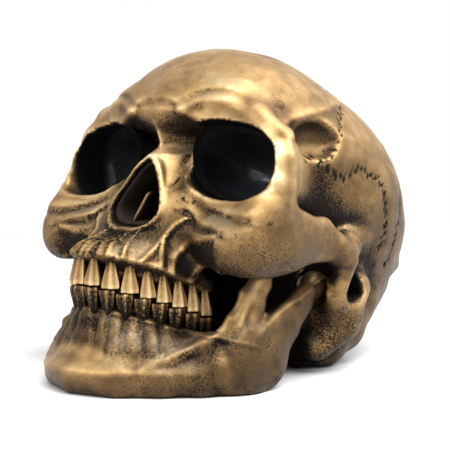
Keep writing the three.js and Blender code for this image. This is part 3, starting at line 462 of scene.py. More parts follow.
def skull_field(p):
    """The upper skull: bones run together, drawn lines, then temple, ear, jaw, eye, nose and foot cuts."""
    x, y, z = np.abs(p[0]), p[1], p[2]
    p = (x, y, z)
    brow = rod(p, [(0, 69, 125), (18, 68, 127), (34, 67, 126), (50, 67.5, 120.5), (60.5, 66.5, 112),
                   (65.5, 64.5, 102)], (8, 7.5, 7, 6.5, 6, 5.3), 4)
    d = join(braincase(p), brow, 10)
    d = meet(d, -oval(p, (74, 88, 92), (17, 17, 17)), 8)
    eye = within(eye_field, p, (5, 30, 70), (80, 112, 132))
    d = join(d, meet(eye - 4.5, EYE_CENTRE[1] + EYE_LIP - y, 3), 6)
    d = join(d, within(face_bones, p, (-1, 0, 30), (70, 130, 130)), 8)
    d = join(d, within(cheek_bones, p, (-1, 25, 18), (95, 130, 125)), 6)
    d = join(d, within(nose_bones, p, (-1, 20, 55), (35, 95, 135)), 4)
    d = join(d, within(base_bones, p, (-1, 70, -12), (90, 160, 85)), 7)
    d = meet(d, -within(nose_root, p, (-1, 20, 82), (34, 86, 136)), 6)
    d = d + skull_relief(p) + within(folds, p, (-1, 0, 36), (54, 60, 96), 0.0)
    d = join(d, within(face_edges, p, (-1, 20, 62), (80, 80, 120)), 1.6)
    d = d + 0.45 * rough(p, 11.0) + 0.2 * rough(p, 4.3)
    dent = meet(oval(p, (66, 98, 111), (16, 18, 11)), 0.62 * (y - 104) - 0.78 * (z - 113) - 9.0, 3)
    d = meet(d, -dent, 1.6)
    ear = rod(p, [(60, 119.5, 40), (59.5, 122, 51)], (5.8, 1.4), 1, 0.4)
    d = meet(d, -ear, 1.6)
    d = meet(d, 1.6 - within(ramus_sweep, p, (34, 40, -12), (80, 125, 75)), 1)
    d = meet(d, -eye, 0.9)
    d = meet(d, -within(nose_field, p, (-1, 10, 60), (30, 90, 115)), 0.7)
    return meet(d, -z, 1.2)


def jaw_field(p):
    """The lower jaw: border, gum, web, chin, oblique line and rising branch, with a rim round the foot."""
    x, y, z = np.abs(p[0]), p[1], p[2]
    p = (x, y, z)
    d = join(gum(p, *LOWER_GUM), gum(p, *LOWER_WALL), 4)
    web = rod(p, [(0, 13.5, 20), (15, 17, 19), (27, 27.5, 18), (36, 41, 15), (43, 56, 12)],
              (8, 8, 9, 10, 9.5), 4)
    d = join(d, web, 7)
    border = rod(p, [(0, 9.5, 7.2), (18, 14, 7.2), (31, 25, 7.2), (44, 39, 7.5), (52, 55, 8), (54.5, 68, 9)],
                 (9.5, 9.5, 9.5, 9, 8.5, 8.5), 4)
    d = join(join(border, d, 7), oval(p, (0, 8.5, 8.5), (19, 11, 9.5)), 6)
    d = join(d, rod(p, [(35, 34, 13), (45, 46, 16), (52.5, 58, 20)], (8, 8.5, 9), 4), 8)
    d = join(d, ramus(p), 7)
    line = rod(p, [(31.2, 14.8, 12.3), (38.8, 23, 16.5), (43.8, 32, 20.7), (47.8, 37, 23.1), (50, 43.6, 26.1),
                   (51.8, 49.5, 32), (51.8, 58.3, 43), (51, 67.5, 51)],
               (0.5, 0.9, 1.2, 1.4, 1.7, 2.1, 2.4, 2.2), 3)
    d = join(d, line, 4)
    run, high = arch_place(p)
    edges = np.cumsum(LOWER_WIDTHS) / LOWER_WIDTHS.sum() * ARCH_RUN
    groove = sum(soft_line(run - edge + 0.1 * (high + 12), 1.7) for edge in (0.0, *edges[:-1].tolist()))
    front = ramp(y, 60, 52) * ramp(z, 8, 14)
    groove = 0.85 * groove * ramp(high, -34, -18) * ramp(high, -7, -10)
    d = d + front * (groove - 0.6 * soft_line(high + 10.2, 1.1))
    d = d + ramp(y, 36, 18) * (0.4 * soft_line(z - 16, 3.6) - 0.7 * soft_line(z - 10.8, 2.2))
    ridge, _ = seam(y, z, [(58, 26), (66, 30.5), (82, 37.5), (96, 43)])
    branch = ramp(x, 50, 54) * ramp(y, 54, 62)
    d = d + branch * (0.9 * soft_line(ridge + 6.0, 3.2) - 0.9 * soft_line(ridge, 2.2))
    d = d + 0.4 * rough(p, 9.0) + 0.2 * rough(p, 3.8)
    return meet(d, -z, 1.2)


def net(values, low, step):
    """Surface nets: a vertex at the mean edge crossing of each border cell, a quad for each crossed edge."""
    inside = values < 0

    def corner_of_cells(grid, corner):
        return grid[tuple(slice(c, n - 1 + c) for c, n in zip(corner, grid.shape))]

    count = sum(corner_of_cells(inside, c).astype(np.int8) for c in CORNERS)
    active = (count > 0) & (count < 8)
    number = np.full(active.shape, -1, np.int64)
    cells = np.argwhere(active)
    number[active] = np.arange(len(cells))
    total, hits = np.zeros((len(cells), 3)), np.zeros(len(cells))
    at = {c: corner_of_cells(values, c)[active].astype(float) for c in CORNERS}
    for a in CORNERS:
        for axis in (i for i in range(3) if a[i] == 0):
            b = tuple(1 if i == axis else v for i, v in enumerate(a))
            crossed = (at[a] < 0) != (at[b] < 0)
            share = np.where(crossed, at[a] / np.where(crossed, at[a] - at[b], 1), 0)
            spot = np.tile(np.array(a, float), (len(cells), 1))
            spot[:, axis] = share
            total += spot * crossed[:, None]
            hits += crossed
    vertices = low + (cells + total / hits[:, None]) * step
    quads = []
    for axis in range(3):
        u, v = (axis + 1) % 3, (axis + 2) % 3
        here, there = [slice(1, -1)] * 3, [slice(1, -1)] * 3
        here[axis], there[axis] = slice(0, -1), slice(1, None)
        start, end = inside[tuple(here)], inside[tuple(there)]
        edges = np.argwhere(start != end)
        flip = end[tuple(edges.T)]
        edges[:, [u, v]] += 1
        ring = []
        for du, dv in ((1, 1), (0, 1), (0, 0), (1, 0)):
            cell = edges.copy()
            cell[:, u] -= du
            cell[:, v] -= dv
            ring.append(number[tuple(cell.T)])
        quad = np.stack(ring, 1)
        quad[flip] = quad[flip][:, ::-1]
        quads.append(quad)
    return vertices, np.concatenate(quads)


def sculpt(field, low, high, step):
    """Skin of a field that is even in x: worked out on blocks near the surface of one half, mirrored and
    netted, then each vertex is drawn onto the field along its slope. Gives vertices, quads and normals."""
    block, shift = 6, (0.5, 0.0, 0.0)
    size = [int(math.ceil((b - a) / (step * block))) * block for a, b in zip(low, high)]
    axes = [np.float32(low[i] + step * (np.arange(size[i] + 1) + shift[i])) for i in range(3)]
    middle = [axis[block // 2::block] for axis in axes]
    coarse = field(tuple(np.meshgrid(*middle, indexing="ij")))
    values = np.repeat(np.repeat(np.repeat(coarse, block, 0), block, 1), block, 2)
    values = np.pad(values, [(0, max(0, n + 1 - m)) for n, m in zip(size, values.shape)], "edge")
    values = values[:size[0] + 1, :size[1] + 1, :size[2] + 1]
    near = np.argwhere(np.abs(coarse) < 1.5 * block * step + 2.0)
    steps = np.arange(block + 1)
    index = [np.minimum(near[:, i, None] * block + steps, size[i]) for i in range(3)]
    grids = index[0][:, :, None, None], index[1][:, None, :, None], index[2][:, None, None, :]
    i, j, k = (grid.ravel() for grid in np.broadcast_arrays(*grids))
    values[i, j, k] = field((axes[0][i], axes[1][j], axes[2][k]))
    values = np.concatenate([values[::-1], values])
    vertices, quads = net(values, np.array([-axes[0][-1], low[1], low[2]], float), step)
    for _ in range(2):
        distance, slope = slope_of(field, vertices)
        move = np.clip(distance / np.maximum(np.square(slope).sum(1), 0.3), -0.6 * step, 0.6 * step)
        vertices -= move[:, None] * slope
    distance, slope = slope_of(field, vertices)
    return vertices, quads, slope / np.maximum(np.linalg.norm(slope, axis=1), 1e-6)[:, None]


def slope_of(field, vertices, reach=0.2):
    """Value and slope of a field by differences."""
    x, y, z = vertices.T.astype(np.float32)
    value = field((x, y, z)).astype(float)
    ahead = [field((x + reach, y, z)), field((x, y + reach, z)), field((x, y, z + reach))]
    return value, np.stack([(a - value) / reach for a in ahead], 1)


def wear_and_shade(field, vertices, normals):
    """Rubbed edges, filled hollows and painted shade: how thin the casting is just inside the skin, how shut
    in it is just outside, and how deep in a cavity it lies, which is painted as shade, each a mean of clipped
    distances along the normal; with how far each normal points up, for painted light from above."""
    def probe(reaches, low, high):
        found = 0.0
        for reach in reaches:
            at = tuple((vertices + normals * reach).T.astype(np.float32))
            found = found + np.clip(field(at) / abs(reach), low, high)
        return found / len(reaches)

    edge = 1 + probe((-1.2, -3.0, -6.0), -1, 0)
    hollow = 1 - probe((1.5, 3.5, 7.0), 0, 1)
    # Painted shade: darker the deeper a point lies in a large cavity
    deep = 1 - probe((13.0, 24.0), -0.5, 1)
    # up: how far each normal points up, used for painted light from above
    return {"edge": edge, "hollow": hollow, "deep": np.clip(deep, 0, 1), "up": normals[:, 2]}


# Patches of painted light and shade, lighter or darker where the light falls on the casting:
# # place, reach and strength, dark below zero
SKULL_LIGHT_AND_SHADE = [
    ((40, 60, 124), 13, 0.26), ((10, 52, 124), 9, 0.1), ((56, 127, 116), 24, 0.1), ((62, 137, 102), 26, 0.07),
    ((59, 94, 88), 16, -0.16), ((44, 47, 79), 9, -0.16), ((44, 39, 63), 10, -0.3), ((64, 117, 26), 12, -0.06),
]
JAW_LIGHT_AND_SHADE = [((8, 3, 15), 12, 0.26), ((47, 29, 12), 9, -0.16), ((31, 20, 24), 9, -0.06)]


def paint_light_and_shade(marks, points, light_and_shade_places):
    """Adds the patches of painted light to the edge marks and of painted shade to the hollow marks:
    a bell round each place, mirrored to both sides.
    """
    half = points.copy()
    half[:, 0] = np.abs(half[:, 0])
    for middle, reach, strength in light_and_shade_places:
        away = np.linalg.norm(half - middle, axis=1)
        # Lighter places raise the edge marks as painted light, darker ones the hollow marks as painted shade
        name = "edge" if strength > 0 else "hollow"
        marks[name] = np.clip(marks[name] + abs(strength) * soft_line(away, reach), 0, 1)


def to_row(points):
    """Sculptor's millimetres to the part's metres."""
    return (np.asarray(points, float) - (0, CHIN_Y, 0)) / 1000.0


def weld(mesh):
    """Makes every pole of a mesh one point."""
    shell = bmesh.new()
    shell.from_mesh(mesh)
    bmesh.ops.remove_doubles(shell, verts=shell.verts, dist=WELD)
    shell.to_mesh(mesh)
    shell.free()


def place(name, points, faces, attributes=None):
    """A mesh object at the origin, smooth shaded, with its point attributes."""
    if not len(faces):
        raise RuntimeError(f"{name} has no faces")
    mesh = bpy.data.meshes.new(name)
    mesh.from_pydata(to_row(points).tolist(), [], faces.tolist())
    mesh.shade_smooth()
    for key, values in (attributes or {}).items():
        mesh.attributes.new(key, "FLOAT", "POINT").data.foreach_set("value", np.float32(values))
    weld(mesh)
    piece = bpy.data.objects.new(name, mesh)
    bpy.context.scene.collection.objects.link(piece)
    return piece


def finish(piece, body, slot, material, *nodes):
    """Seats a piece on its body, in place of its CAD nodes, with its finish."""
    piece.data.materials.append(material)
    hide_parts(*nodes)
    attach(piece, body)


def tube_faces(rings, sides):
    """Quads between the rings of a tube, closed round each ring; its first and last rings are poles."""
    r, s = np.meshgrid(np.arange(rings - 1), np.arange(sides), indexing="ij")
    n = (s + 1) % sides
    quads = [r * sides + s, r * sides + n, (r + 1) * sides + n, (r + 1) * sides + s]
    return np.stack(quads, -1).reshape(-1, 4)


def mirrored(points, faces, flip):
    """A piece as made for the left, or its mirror image with the faces turned outwards again."""
    return points * (flip, 1, 1), faces if flip > 0 else faces[:, ::-1]


def squared(wave, power):
    """A sine or cosine drawn towards its ends, so that the ring it makes is a rounded square."""
    return np.sign(wave) * np.abs(wave) ** power


class Value:
    """A shader socket that takes part in sums: operators add Math nodes."""

    def __init__(self, graph, socket):
        self.graph, self.socket = graph, socket

    def _math(self, operation, a, b):
        return self.graph.node("ShaderNodeMath", {"operation": operation}, {0: a, 1: b})

    def __add__(self, other):
        return self._math("ADD", self, other)

    def __radd__(self, other):
        return self._math("ADD", other, self)

    def __sub__(self, other):
        return self._math("SUBTRACT", self, other)

    def __rsub__(self, other):
        return self._math("SUBTRACT", other, self)

    def __mul__(self, other):
        return self._math("MULTIPLY", self, other)

    def __rmul__(self, other):
        return self._math("MULTIPLY", other, self)


class Finish:
    """A material's node tree, with one method that adds any node."""

    def __init__(self, name):
        self.material = bpy.data.materials.new(name)
        self.material.use_nodes = True
        self.tree = self.material.node_tree
        self.shader = next(n for n in self.tree.nodes if n.type == "BSDF_PRINCIPLED")

    def put(self, socket, value):
        """Links a socket to a shader value, or sets it to a plain one."""
        if isinstance(value, Value):
            self.tree.links.new(value.socket, socket)
        else:
            socket.default_value = value

    def node(self, kind, settings=None, inputs=None, output=0):
        """Any node, with its settings and inputs; gives one of its outputs."""
        made = self.tree.nodes.new(kind)
        for key, value in (settings or {}).items():
            if key == "stops":
                ends = made.color_ramp.elements
                for i, (at, colour) in enumerate(value):
                    stop = ends[i] if i < 2 else ends.new(at)
                    stop.position, stop.color = at, (*colour, 1)
            else:
                setattr(made, key, value)
        for key, value in (inputs or {}).items():
            self.put(made.inputs[key], value)
        return Value(self, made.outputs[output])

    def set(self, **inputs):
        """Inputs of the material's own shader, spaces written as underscores."""
        for key, value in inputs.items():
            self.put(self.shader.inputs[key.replace("_", " ")], value)

    def coordinates(self, **mapping):
        """Object coordinates, moved, turned or stretched."""
        plain = self.node("ShaderNodeTexCoord", output="Object")
        return self.node("ShaderNodeMapping", {}, {"Vector": plain, **mapping}) if mapping else plain

    def noise(self, at, scale, detail=3.0, roughness=0.55):
        inputs = {"Vector": at, "Scale": scale, "Detail": detail, "Roughness": roughness}
        return self.node("ShaderNodeTexNoise", {}, inputs)

    def bump(self, strength, distance, height):
        inputs = {"Strength": strength, "Distance": distance, "Height": height}
        return self.node("ShaderNodeBump", {}, inputs)

    def attribute(self, name):
        return self.node("ShaderNodeAttribute", {"attribute_name": name}, output="Fac")

    def step(self, value, low, high):
        """Smooth step from 0 at low to 1 at high."""
        return self.node("ShaderNodeMapRange", {"interpolation_type": "SMOOTHSTEP"},
                         {"Value": value, "From Min": low, "From Max": high, "To Min": 0.0, "To Max": 1.0})

    def blend(self, factor, a, b):
        """Colour that goes from a to b."""
        return self.node("ShaderNodeMix", {"data_type": "RGBA"}, {"Factor": factor, 6: a, 7: b}, output=2)


# Tone of the bronze from the darkest umber to rubbed gold; a colour ramp starts with its two ends
GOLD = [(0.0, (0.006, 0.004, 0.0025)), (1.0, (0.88, 0.68, 0.40)), (0.18, (0.03, 0.017, 0.007)),
        (0.38, (0.12, 0.068, 0.024)), (0.56, (0.32, 0.195, 0.075)), (0.78, (0.60, 0.42, 0.20))]
# Grey-beige of a painted sheen on upward faces
SHEEN_GREY = (0.33, 0.26, 0.165, 1.0)
LACQUER_BLACK = (0.007, 0.007, 0.008, 1.0)


def bronze(name, shift, lift):
    """Antique bronze paint: gold rubbed bright on edges, umber patina left in hollows, black in deep cavities
    as painted shade, with dark speckle, pits and fine brushing, painted light and a painted grey sheen on
    upward faces; black lacquer where the socket attribute says so."""
    f = Finish(name)
    at = f.coordinates(Location=shift)
    edge, hollow, deep = f.attribute("edge"), f.attribute("hollow"), f.attribute("deep")
    cloud = f.noise(at, 30.0, 4.0)
    patch = f.noise(at, 90.0, 5.0, 0.65)
    dust = f.noise(at, 1000.0, 5.0, 0.75)
    brushed = {"Vector": at, "Scale": (240.0, 900.0, 2400.0), "Rotation": (0.5, 0.2, 0.4)}
    streak = f.noise(f.node("ShaderNodeMapping", {}, brushed), 1.0, 3.0)
    up = f.attribute("up")
    # Painted light from above: upward faces lighter; painted shade: darker deep in large cavities
    tone = lift + 0.18 * up + 0.66 * edge - 0.54 * hollow - 0.38 * deep
    tone = tone + 0.36 * (cloud - 0.5) + 0.4 * (patch - 0.5)
    cover = f.step(1.3 * hollow + 0.8 * deep + 1.1 * patch + 0.9 * cloud - 0.9 * edge - 0.3 * up, 0.6, 1.7)
    speck = f.step(dust + 0.16 * cover, 0.57, 0.66) * cover
    tone = tone + 0.14 * (streak - 0.5) - 0.38 * speck
    colour = f.node("ShaderNodeValToRGB", {"stops": GOLD}, {"Fac": tone})
    # Painted sheen: a grey-beige cast on upward faces, in cloudy patches
    grey = f.step(cloud + 0.3 * patch, 0.64, 0.84) * f.step(up, 0.2, 0.8) * 0.5
    colour = f.blend(grey, colour, SHEEN_GREY)
    black = f.attribute("socket")
    colour = f.blend(black, colour, LACQUER_BLACK)
    pits = f.noise(at, 480.0, 5.0, 0.7)
    height = f.bump(0.3, 0.0006, 0.7 * pits + 0.3 * streak + 0.4 * dust)
    gloss = 0.46 - 0.1 * edge + 0.2 * hollow + 0.2 * speck + 0.16 * (patch - 0.5)
    f.set(Base_Color=colour, Roughness=gloss + 0.2 * black, Normal=height)
    f.set(Metallic=0.72 + 0.2 * hollow + 0.28 * black)
    return f.material


def socket_black(name):
    """Gloss black lacquer with brush marks, a little bronze dusted on at the mouth of the socket, and a
    painted bluish-grey highlight low in the bowl.
    """
    f = Finish(name)
    at = f.coordinates()
    depth = f.attribute("depth")
    runs = f.noise(at, 130.0, 4.0, 0.6)
    fine = f.noise(at, 700.0, 3.0)
    lip = 1 - f.step(depth, 0.02, 0.2)
    dusted = (1 - f.step(depth + 0.5 * (runs - 0.5), 0.0, 0.3)) * 0.12
    colour = f.blend(dusted, (0.007, 0.007, 0.0085, 1.0), (0.05, 0.03, 0.014, 1.0))
    height = f.bump(0.6, 0.002, runs + 0.2 * fine)
    # Painted highlight: bluish-grey low in the bowl, where the shine attribute says so
    colour = f.blend(f.attribute("shine") * (0.4 + 0.9 * runs), colour, (0.05, 0.056, 0.068, 1.0))
    f.set(Base_Color=colour, Roughness=0.26 + 0.24 * runs + 0.5 * lip, Metallic=lip, Normal=height)
    f.set(IOR=1.3, Coat_Weight=0.7 - 0.7 * lip, Coat_Roughness=0.16)
    return f.material


def nose_shade(name):
    """Near-black umber inside the nose as painted shade, lighter with a little gold at its mouth."""
    f = Finish(name)
    wash = f.noise(f.coordinates(), 160.0, 5.0, 0.65)
    # Painted shade: the gold at the mouth fades to near-black further in
    dusted = (1 - f.step(f.attribute("depth") + 0.5 * (wash - 0.5), 0.05, 0.4)) * 0.04
    colour = f.blend(dusted, (0.010, 0.007, 0.005, 1.0), (0.20, 0.125, 0.05, 1.0))
    height = f.bump(0.5, 0.001, wash)
    f.set(Base_Color=colour, Roughness=0.6 + 0.3 * wash, IOR=1.25, Normal=height)
    return f.material


def pin_steel(name):
    """Turned steel: rings of tool marks round the hinge axis."""
    f = Finish(name)
    marks = f.noise(f.coordinates(Scale=(4000.0, 40.0, 40.0)), 1.0, 2.0)
    colour = f.blend(marks, (0.42, 0.42, 0.43, 1.0), (0.62, 0.62, 0.63, 1.0))
    f.set(Base_Color=colour, Roughness=0.24 + 0.2 * marks, Metallic=1.0)
    return f.material


def bush_nylon(name):
    """Natural nylon: cloudy ivory with a fine moulded bloom."""
    f = Finish(name)
    cloud = f.noise(f.coordinates(), 420.0, 3.0)
    colour = f.blend(cloud, (0.62, 0.58, 0.47, 1.0), (0.76, 0.72, 0.62, 1.0))
    f.set(Base_Color=colour, Roughness=0.4 + 0.2 * cloud)
    return f.material


class SkullSizes(bpy.types.PropertyGroup):
    """Fineness of the sculpted skins and the light on the stage."""

    skull_step: FloatProperty(
        name="Skull mesh", description="Mesh size of the cranium's skin, in millimetres",
        default=1.3, min=0.8, max=6.0)
    jaw_step: FloatProperty(
        name="Jaw mesh", description="Mesh size of the lower jaw's skin, in millimetres",
        default=1.0, min=0.7, max=6.0)
    lift: FloatProperty(
        name="Rubbing", description="How far the gold is rubbed up over the whole casting",
        default=0.41, min=0.0, max=1.0, subtype="FACTOR")
    floor: FloatVectorProperty(
        name="Floor", description="Colour of the plain floor",
        default=(0.92, 0.92, 0.92), size=3, subtype="COLOR", min=0.0, max=1.0)
    light: FloatProperty(
        name="Key light", description="Power of the key light",
        default=24.0, min=0.0, max=200.0, unit="POWER")
    room: FloatProperty(
        name="Room light", description="Strength of the even light from all round",
        default=0.26, min=0.0, max=2.0)


def sizes():
    """The add-on's settings in the present scene."""
    return bpy.context.scene.skull_sizes


def skull_paint(points, normals):
    """Rubbing, patina and painted shade of the cranium, then more marks: black lacquer in the sockets,
    painted shade inside the nose and behind the jaw, dark sutures, darker beside the nose, less of the
    darkening in the dents, between the eyes, at the nape and in the fossa under the cheek; then patches of
    painted light and shade."""
    marks = wear_and_shade(skull_field, points, normals)
    half = across, back, high = np.abs(points[:, 0]), points[:, 1], points[:, 2]
    inside = eye_field(half)
    marks["socket"] = ramp(inside, 0.9, 0.35) * ramp(eye_frame(half)[2], -16.0, -10.0)
    behind = back - NOSE_Y - NOSE_LEAN * (high - NOSE_Z)
    # Painted shade inside the nose
    throat = ramp(nose_field(points.T), 1.0, 0.4) * ramp(behind, -1.0, 0.8)
    dent = soft_line(np.hypot(back - 98, high - 111), 15.0) * ramp(across, 40, 50)
    root = soft_line(np.hypot(across, 0.85 * (high - 116)), 20.0) * ramp(back, 80, 72)
    root = root * ramp(inside, 0.6, 2.0)
    nape = ramp(back, 112, 124) * ramp(high, 34, 22)
    fossa = soft_line(np.hypot(across - 33, high - 63), 14.0) * ramp(back, 60, 54)
    bare = np.max([0.8 * dent, 0.6 * root, 0.35 * nape, 0.5 * fossa], 0)
    # Painted shade behind the jaw, in the room inside its rising branch
    behind_jaw_shade = ramp(across, 51, 44) * ramp(high, 66, 58) * ramp(back, 54, 62) * ramp(back, 120, 112)
    flank = ramp(back, 60, 52) * ramp(across, 30, 22) * ramp(high, 106, 98)
    line = 0.75 * sutures(half) * ramp(np.abs(normals[:, 1]) + high / 200, 1.6, 1.2)
    for name, behind_jaw_shade_share, flank_share in (("hollow", 0.9, 0.13), ("deep", 1.0, 0.0)):
        mark = np.maximum(marks[name], throat) * (1 - bare)
        mark = np.minimum(1, np.maximum(mark, behind_jaw_shade_share * behind_jaw_shade) + flank_share * flank)
        marks[name] = np.maximum(mark, line)
    marks["edge"] = marks["edge"] * (1 - np.maximum(behind_jaw_shade, 0.35 * flank))
    paint_light_and_shade(marks, points, SKULL_LIGHT_AND_SHADE)
    return marks


class SKULL_OT_cranium(bpy.types.Operator):
    """Sculpts the cast cranium"""

    bl_idname = "skull.cranium"
    bl_label = "Cranium"

    def execute(self, context):
        points, quads, normals = sculpt(skull_field, (0, 2, -6), (82, 216, 162), sizes().skull_step)
        piece = place("skull_cranium", points, quads, skull_paint(points, normals))
        paint = bronze("antique_bronze_skull", (0.0, 0.0, 0.0), sizes().lift)
        finish(piece, "cranium", "bronze_skull", paint, "cranium")
        return {"FINISHED"}


class SKULL_OT_jaw(bpy.types.Operator):
    """Sculpts the lower jaw"""

    bl_idname = "skull.jaw"
    bl_label = "Lower jaw"

    def execute(self, context):
        points, quads, normals = sculpt(jaw_field, (0, -10, -6), (72, 118, 68), sizes().jaw_step)
        marks = wear_and_shade(jaw_field, points, normals)
        # Painted shade over the face of the jaw, and painted light on the chin
        face = ramp(points[:, 2], 12, 26) * ramp(points[:, 1], 56, 40)
        chin = ramp(points[:, 2], 20, 12) * ramp(points[:, 1], 46, 28)
        marks["hollow"] = np.minimum(1, marks["hollow"] + 0.12 * face)
        marks["edge"] = marks["edge"] * (1 - 0.3 * face) + 0.12 * chin
        paint_light_and_shade(marks, points, JAW_LIGHT_AND_SHADE)
        piece = place("skull_lower_jaw", points, quads, marks)
        # The jaw gets a darker copy of the same bronze, as painted shade
        paint = bronze("antique_bronze_jaw", (0.31, 0.17, 0.05), sizes().lift - 0.13)
        finish(piece, "jaw", "bronze_jaw", paint, "lower_jaw")
        return {"FINISHED"}


def tooth_outline():
    """Five-sided outline of a tooth, each corner eased by three points, with the shine of every point."""
    corners = np.array([(-0.76, -1.0), (0.76, -1.0), (1.0, 0.5), (0.15, 1.0), (-1.0, 0.35)])
    before, after = np.roll(corners, 1, 0) - corners, np.roll(corners, -1, 0) - corners
    eased = [corners + 0.09 * before, corners + 0.02 * (before + after), corners + 0.09 * after]
    outline = np.stack(eased + [corners + 0.5 * after], 1).reshape(-1, 2)
    return outline, np.tile([0.35, 0.5, 0.35, 0.0], len(corners))


def tooth(station, height, up):
    """Faceted tooth: its outline carried up from the biting edge and drawn in to a root peg, ring by ring.
    Gives its points, faces and the marks of each point: rubbed edges, and painted shade at the middle of the
    biting face, towards the root, on the inner side and over the whole lower row."""
    x, y, ax, ay, width = station
    peg = 1.0 + TOOTH_ROOT / height
    # Painted shade: the lower row darker all over, and the inner side of each tooth darker
    top, shadow, cover = (0.2, 0.0, 0.25) if up > 0 else (0.28, 0.3, 0.45)
    rise = np.array([0.0, 0.0, 0.04, 0.2, 0.6, 0.93, 1.0, peg, peg])[:, None]
    half = width * np.array([0.0, 0.45, 0.49, 0.485, 0.24 + top / 2, top + 0.02, top, top, 0.0])[:, None]
    inner = TOOTH_DEPTH / 2 * np.array([0.0, 0.9, 1.0, 1.0, 0.9, 0.82, 0.8, 0.6, 0.0])[:, None]
    outer = TOOTH_DEPTH / 2 * np.array([0.0, 0.9, 1.0, 1.1, 0.95, 0.83, 0.8, 0.3, 0.0])[:, None]
    rubbed = np.array([0, 0.8, 1, 0.9, 0.8, 0.5, 0.1, 0, 0])[:, None]
    bitten = np.array([0, 0.2, 0.2, 0.04, 0, 0, 0, 0, 0])[:, None]
    # Painted shade at the middle of the biting face and towards the root
    shade = np.array([0.4, 0.15, 0.0, 0.0, 0.04, 0.15, 0.35, 0.7, 0.8])[:, None] + shadow
    inner_shade = cover * np.array([1, 0.6, 0.6, 0.8, 1, 1, 1, 1, 1])[:, None]
    outline, shine = tooth_outline()
    across = half * outline[:, 0]
    out = np.where(outline[:, 1] < 0, inner, outer) * outline[:, 1] - TOOTH_LEAN * rise
    z = bite_height(y) + up * (BITE_GAP / 2 + rise * height)
    points = np.stack([x + ax * across + ay * out, y + ay * across - ax * out, z + np.zeros_like(out)], -1)
    faces = tube_faces(*out.shape)
    hollow = np.clip(shade + inner_shade * (outline[:, 1] < 0.3), 0, 1).ravel()
    marks = {"edge": (shine * rubbed + bitten).ravel(), "hollow": hollow, "deep": 0.8 * hollow}
    return points.reshape(-1, 3), faces[:, ::-1] if up > 0 else faces, marks


class SKULL_OT_teeth(bpy.types.Operator):
    """Cuts the sixteen upper and sixteen lower teeth"""

    bl_idname = "skull.teeth"
    bl_label = "Teeth"

    def execute(self, context):
        # The teeth get a lighter copy of the same bronze, as painted light
        paint = bronze("antique_bronze_teeth", (0.12, 0.4, 0.22), sizes().lift + 0.1)
        rows = (("upper", UPPER_WIDTHS, UPPER_HEIGHT, 1, "cranium"),
                ("lower", LOWER_WIDTHS, LOWER_HEIGHT, -1, "jaw"))
        for row, widths, height, up, body in rows:
            for i, station in enumerate(tooth_stations(widths), 1):
                points, faces, marks = tooth(station, height, up)
                for side, flip in SIDES:
                    piece = place(f"{row}_{side}_{i}_tooth", *mirrored(points, faces, flip), marks)
                    finish(piece, body, "bronze_teeth", paint, f"{row}_tooth_{side}_{i}")
        return {"FINISHED"}


def bowl(rim, ring, wall, count):
    """Closed bowl: the outer wall from its pole to the mouth, over the lip, and the inner wall back to its
    pole. Gives its points, faces and the depth of each point, from 0 at the mouth to 1."""
    shares = rim + (1 - rim) * np.sin(np.linspace(0, math.pi / 2, count))
    rings = np.stack([ring(0.0, s) for s in shares[::-1]] + [ring(wall, s) for s in shares])
    depth = (np.concatenate([shares[::-1], shares]) - rim) / (1 - rim)
    return rings.reshape(-1, 3), tube_faces(*rings.shape[:2]), np.repeat(depth, rings.shape[1])


def eye_ring(wall, share):
    """One ring of the eye bowl: a rounded square shrunk as a half ellipse at its share of the depth; the wall
    thins out towards the lip."""
    inset = LINER_GAP + wall * (0.12 + 0.88 * min(1.0, 6.0 * (share - EYE_LIP / EYE_DEPTH)))
    turn = np.linspace(0, 2 * math.pi, LINER_SIDES, endpoint=False)
    size = math.sqrt(max(1 - share * share, 0))
    u = (EYE_HALF[0] - inset) * size * squared(np.cos(turn), 2 / EYE_SQUARE)
    v = (EYE_HALF[1] - inset) * size * squared(np.sin(turn), 2 / EYE_SQUARE)
    w = (EYE_DEPTH - inset) * share
    s, c = math.sin(EYE_TURN), math.cos(EYE_TURN)
    x, y = c * u - s * w, s * u + c * w
    z = v - EYE_LEAN * (y + EYE_LIP) - EYE_DROOP * x
    return np.stack([EYE_CENTRE[0] + x, EYE_CENTRE[1] + y, EYE_CENTRE[2] + z], -1)


def nose_ring(wall, share):
    """One ring of the nose pocket: the pear outline shrunk as a half ellipse on its slant."""
    inset = LINER_GAP + wall
    turn = np.linspace(0, 2 * math.pi, LINER_SIDES, endpoint=False)
    signed = np.where(turn > math.pi, turn - 2 * math.pi, turn)
    reach = pear_reach(signed) - inset
    size = math.sqrt(max(1 - share * share, 0))
    x, rise = reach * np.sin(signed), reach * np.cos(signed)
    y = NOSE_Y + (NOSE_DEPTH - inset) * share + NOSE_LEAN * rise * (1 - share)
    return np.stack([x * size, y, NOSE_Z + rise * size], -1)


class SKULL_OT_liners(bpy.types.Operator):
    """Forms the black eye-socket liners and the liner of the nose"""

    bl_idname = "skull.liners"
    bl_label = "Socket liners"

    def execute(self, context):
        black = socket_black("gloss_black_socket")
        points, faces, depth = bowl(EYE_LIP / EYE_DEPTH, eye_ring, LINER_WALL, 26)
        # Where the painted highlight goes: the lower half of the bowl, part way in
        shine = ramp(EYE_CENTRE[2] - points[:, 2], 0.0, 14.0) * ramp(depth, 0.25, 0.6)
        for side, flip in SIDES:
            shell = mirrored(points, faces, flip)
            piece = place(f"{side}_eye_liner", *shell, {"depth": depth, "shine": shine})
            finish(piece, "cranium", "socket_black", black, f"{side}_eye_socket_liner")
        # The nose liner's near-black colour is painted shade
        points, faces, depth = bowl(NOSE_RIM, nose_ring, LINER_WALL, 20)
        piece = place("nose_liner", points, faces[:, ::-1], {"depth": depth})
        finish(piece, "cranium", "nose_dark", nose_shade("painted_shade_nose"), "nasal_cavity_liner")
        return {"FINISHED"}


